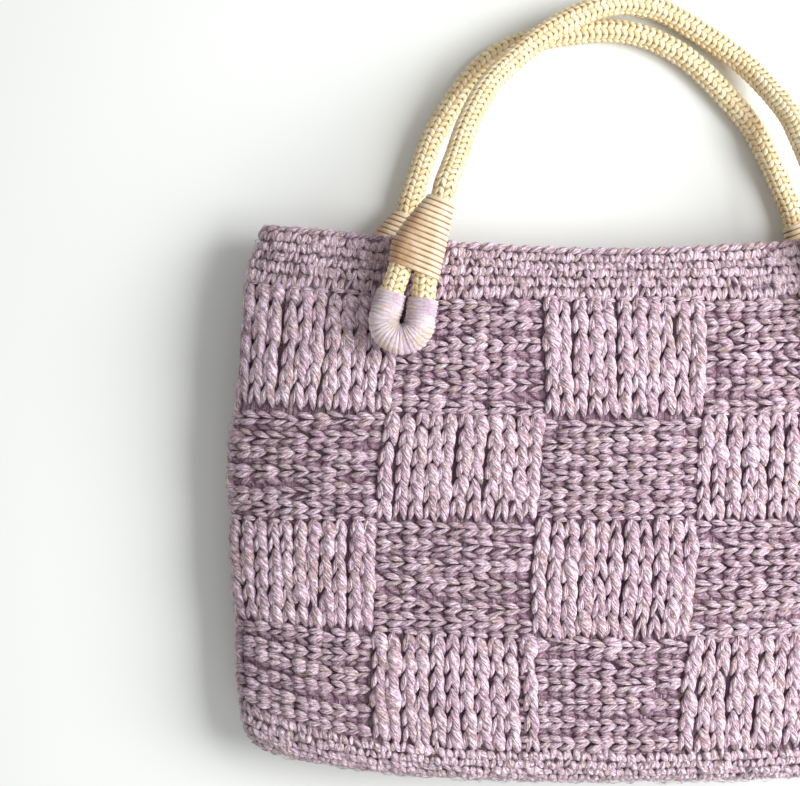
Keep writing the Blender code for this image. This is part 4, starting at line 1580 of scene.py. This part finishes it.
@dataclass
class FreeArch:
    """One free arch of rope between two handle ends."""

    side: str
    left: HandleEnd
    right: HandleEnd
    tuck: float = 4 * MM

    def build(self, rope: bpy.types.Material) -> None:
        """Args:
            rope: its finish.
        """
        start, leaving = self.left.arch_start()
        finish, arriving = self.right.arch_start()
        inner = [Vector(point) * MM + Vector((0.0, TOP, 0.0)) for point in ARCHES[self.side]]
        begun, ended = start + leaving * ROPE.radius, finish + arriving * ROPE.radius
        coarse = [start, *smooth_route([begun, *inner, ended], 4 * ROPE.radius), finish]
        fine = smooth_route([begun, *inner, ended], 0.5 * ROPE.radius)
        fine = [start - leaving * self.tuck, start, *fine, finish, finish - arriving * self.tuck]
        name = f"{self.side}_handle_braid"
        mesh = Braid(Tube(fine, ROPE.radius), 31 + len(self.side)).mesh(name)
        piece = add_piece(name, mesh, rope)
        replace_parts(piece, f"{self.side}_handle_rope")


@dataclass
class Studio:
    """The camera, the plain floor and the soft light."""

    lens: float = 75.75
    above: float = 0.85
    over: tuple = (-0.1037, 0.0467)
    surround: float = 0.45
    lamps: tuple = (
        # name, place, size, power
        ("key", (0.80, 0.08, 0.75), 0.80, 21.0),
        ("fill", (0.25, -1.1, 0.65), 0.9, 3.0),
    )

    def camera(self) -> None:
        """Sets the camera looking straight down, as the photograph does."""
        data = bpy.data.cameras.new("camera")
        data.lens, data.sensor_width = self.lens, 36.0
        camera = bpy.data.objects.new("camera", data)
        camera.location = (*self.over, self.above)
        bpy.context.scene.collection.objects.link(camera)
        bpy.context.scene.camera = camera

    def floor(self) -> None:
        """Lays the floor."""
        mesh = bmesh.new()
        bmesh.ops.create_grid(mesh, x_segments=2, y_segments=2, size=4.0)
        made = bpy.data.meshes.new("floor")
        mesh.to_mesh(made)
        mesh.free()
        made.materials.append(FloorFinish().material())
        floor = bpy.data.objects.new("floor", made)
        bpy.context.scene.collection.objects.link(floor)

    def light(self) -> None:
        """Sets one large soft light from the upper right, a weak one opposite and a pale surround."""
        for name, place, size, power in self.lamps:
            data = bpy.data.lights.new(name, "AREA")
            data.size, data.energy = size, power
            lamp = bpy.data.objects.new(name, data)
            lamp.location = place
            aim = Vector((0.0, 0.0, 0.03)) - Vector(place)
            lamp.rotation_euler = aim.to_track_quat("-Z", "Y").to_euler()
            bpy.context.scene.collection.objects.link(lamp)
        world = bpy.data.worlds.new("surround")
        world.use_nodes = True
        background = world.node_tree.nodes["Background"]
        background.inputs["Color"].default_value = (1.0, 1.0, 0.97, 1)
        background.inputs["Strength"].default_value = self.surround
        bpy.context.scene.world = world
        bpy.context.scene.view_settings.view_transform = "Standard"


def main() -> None:
    """Builds the studio, the handles and the bag."""
    logging.basicConfig(level=logging.INFO)
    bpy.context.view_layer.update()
    studio = Studio()
    studio.camera()
    studio.floor()
    studio.light()
    spun_fibre_group()
    yarn, rope, lace = YARN.material(), RopeFinish().material(), LaceFinish().material()
    wound, loose, back = WOUND_YARN.material(), LOOSE_YARN.material(), SHADED_KNITTED_BACK.material()
    rounds = LIT_ROUNDS_YARN.material()
    ends = {row[0]: HandleEnd(*row) for row in HANDLE_ENDS}
    for side in ("front", "back"):
        FreeArch(side, ends[f"{side}_left"], ends[f"{side}_right"]).build(rope)
    for end in ends.values():
        end.build(rope, wound, lace)
    KnittedBag(yarn, rounds, back, loose).build()


if __name__ == "__main__":
    main()
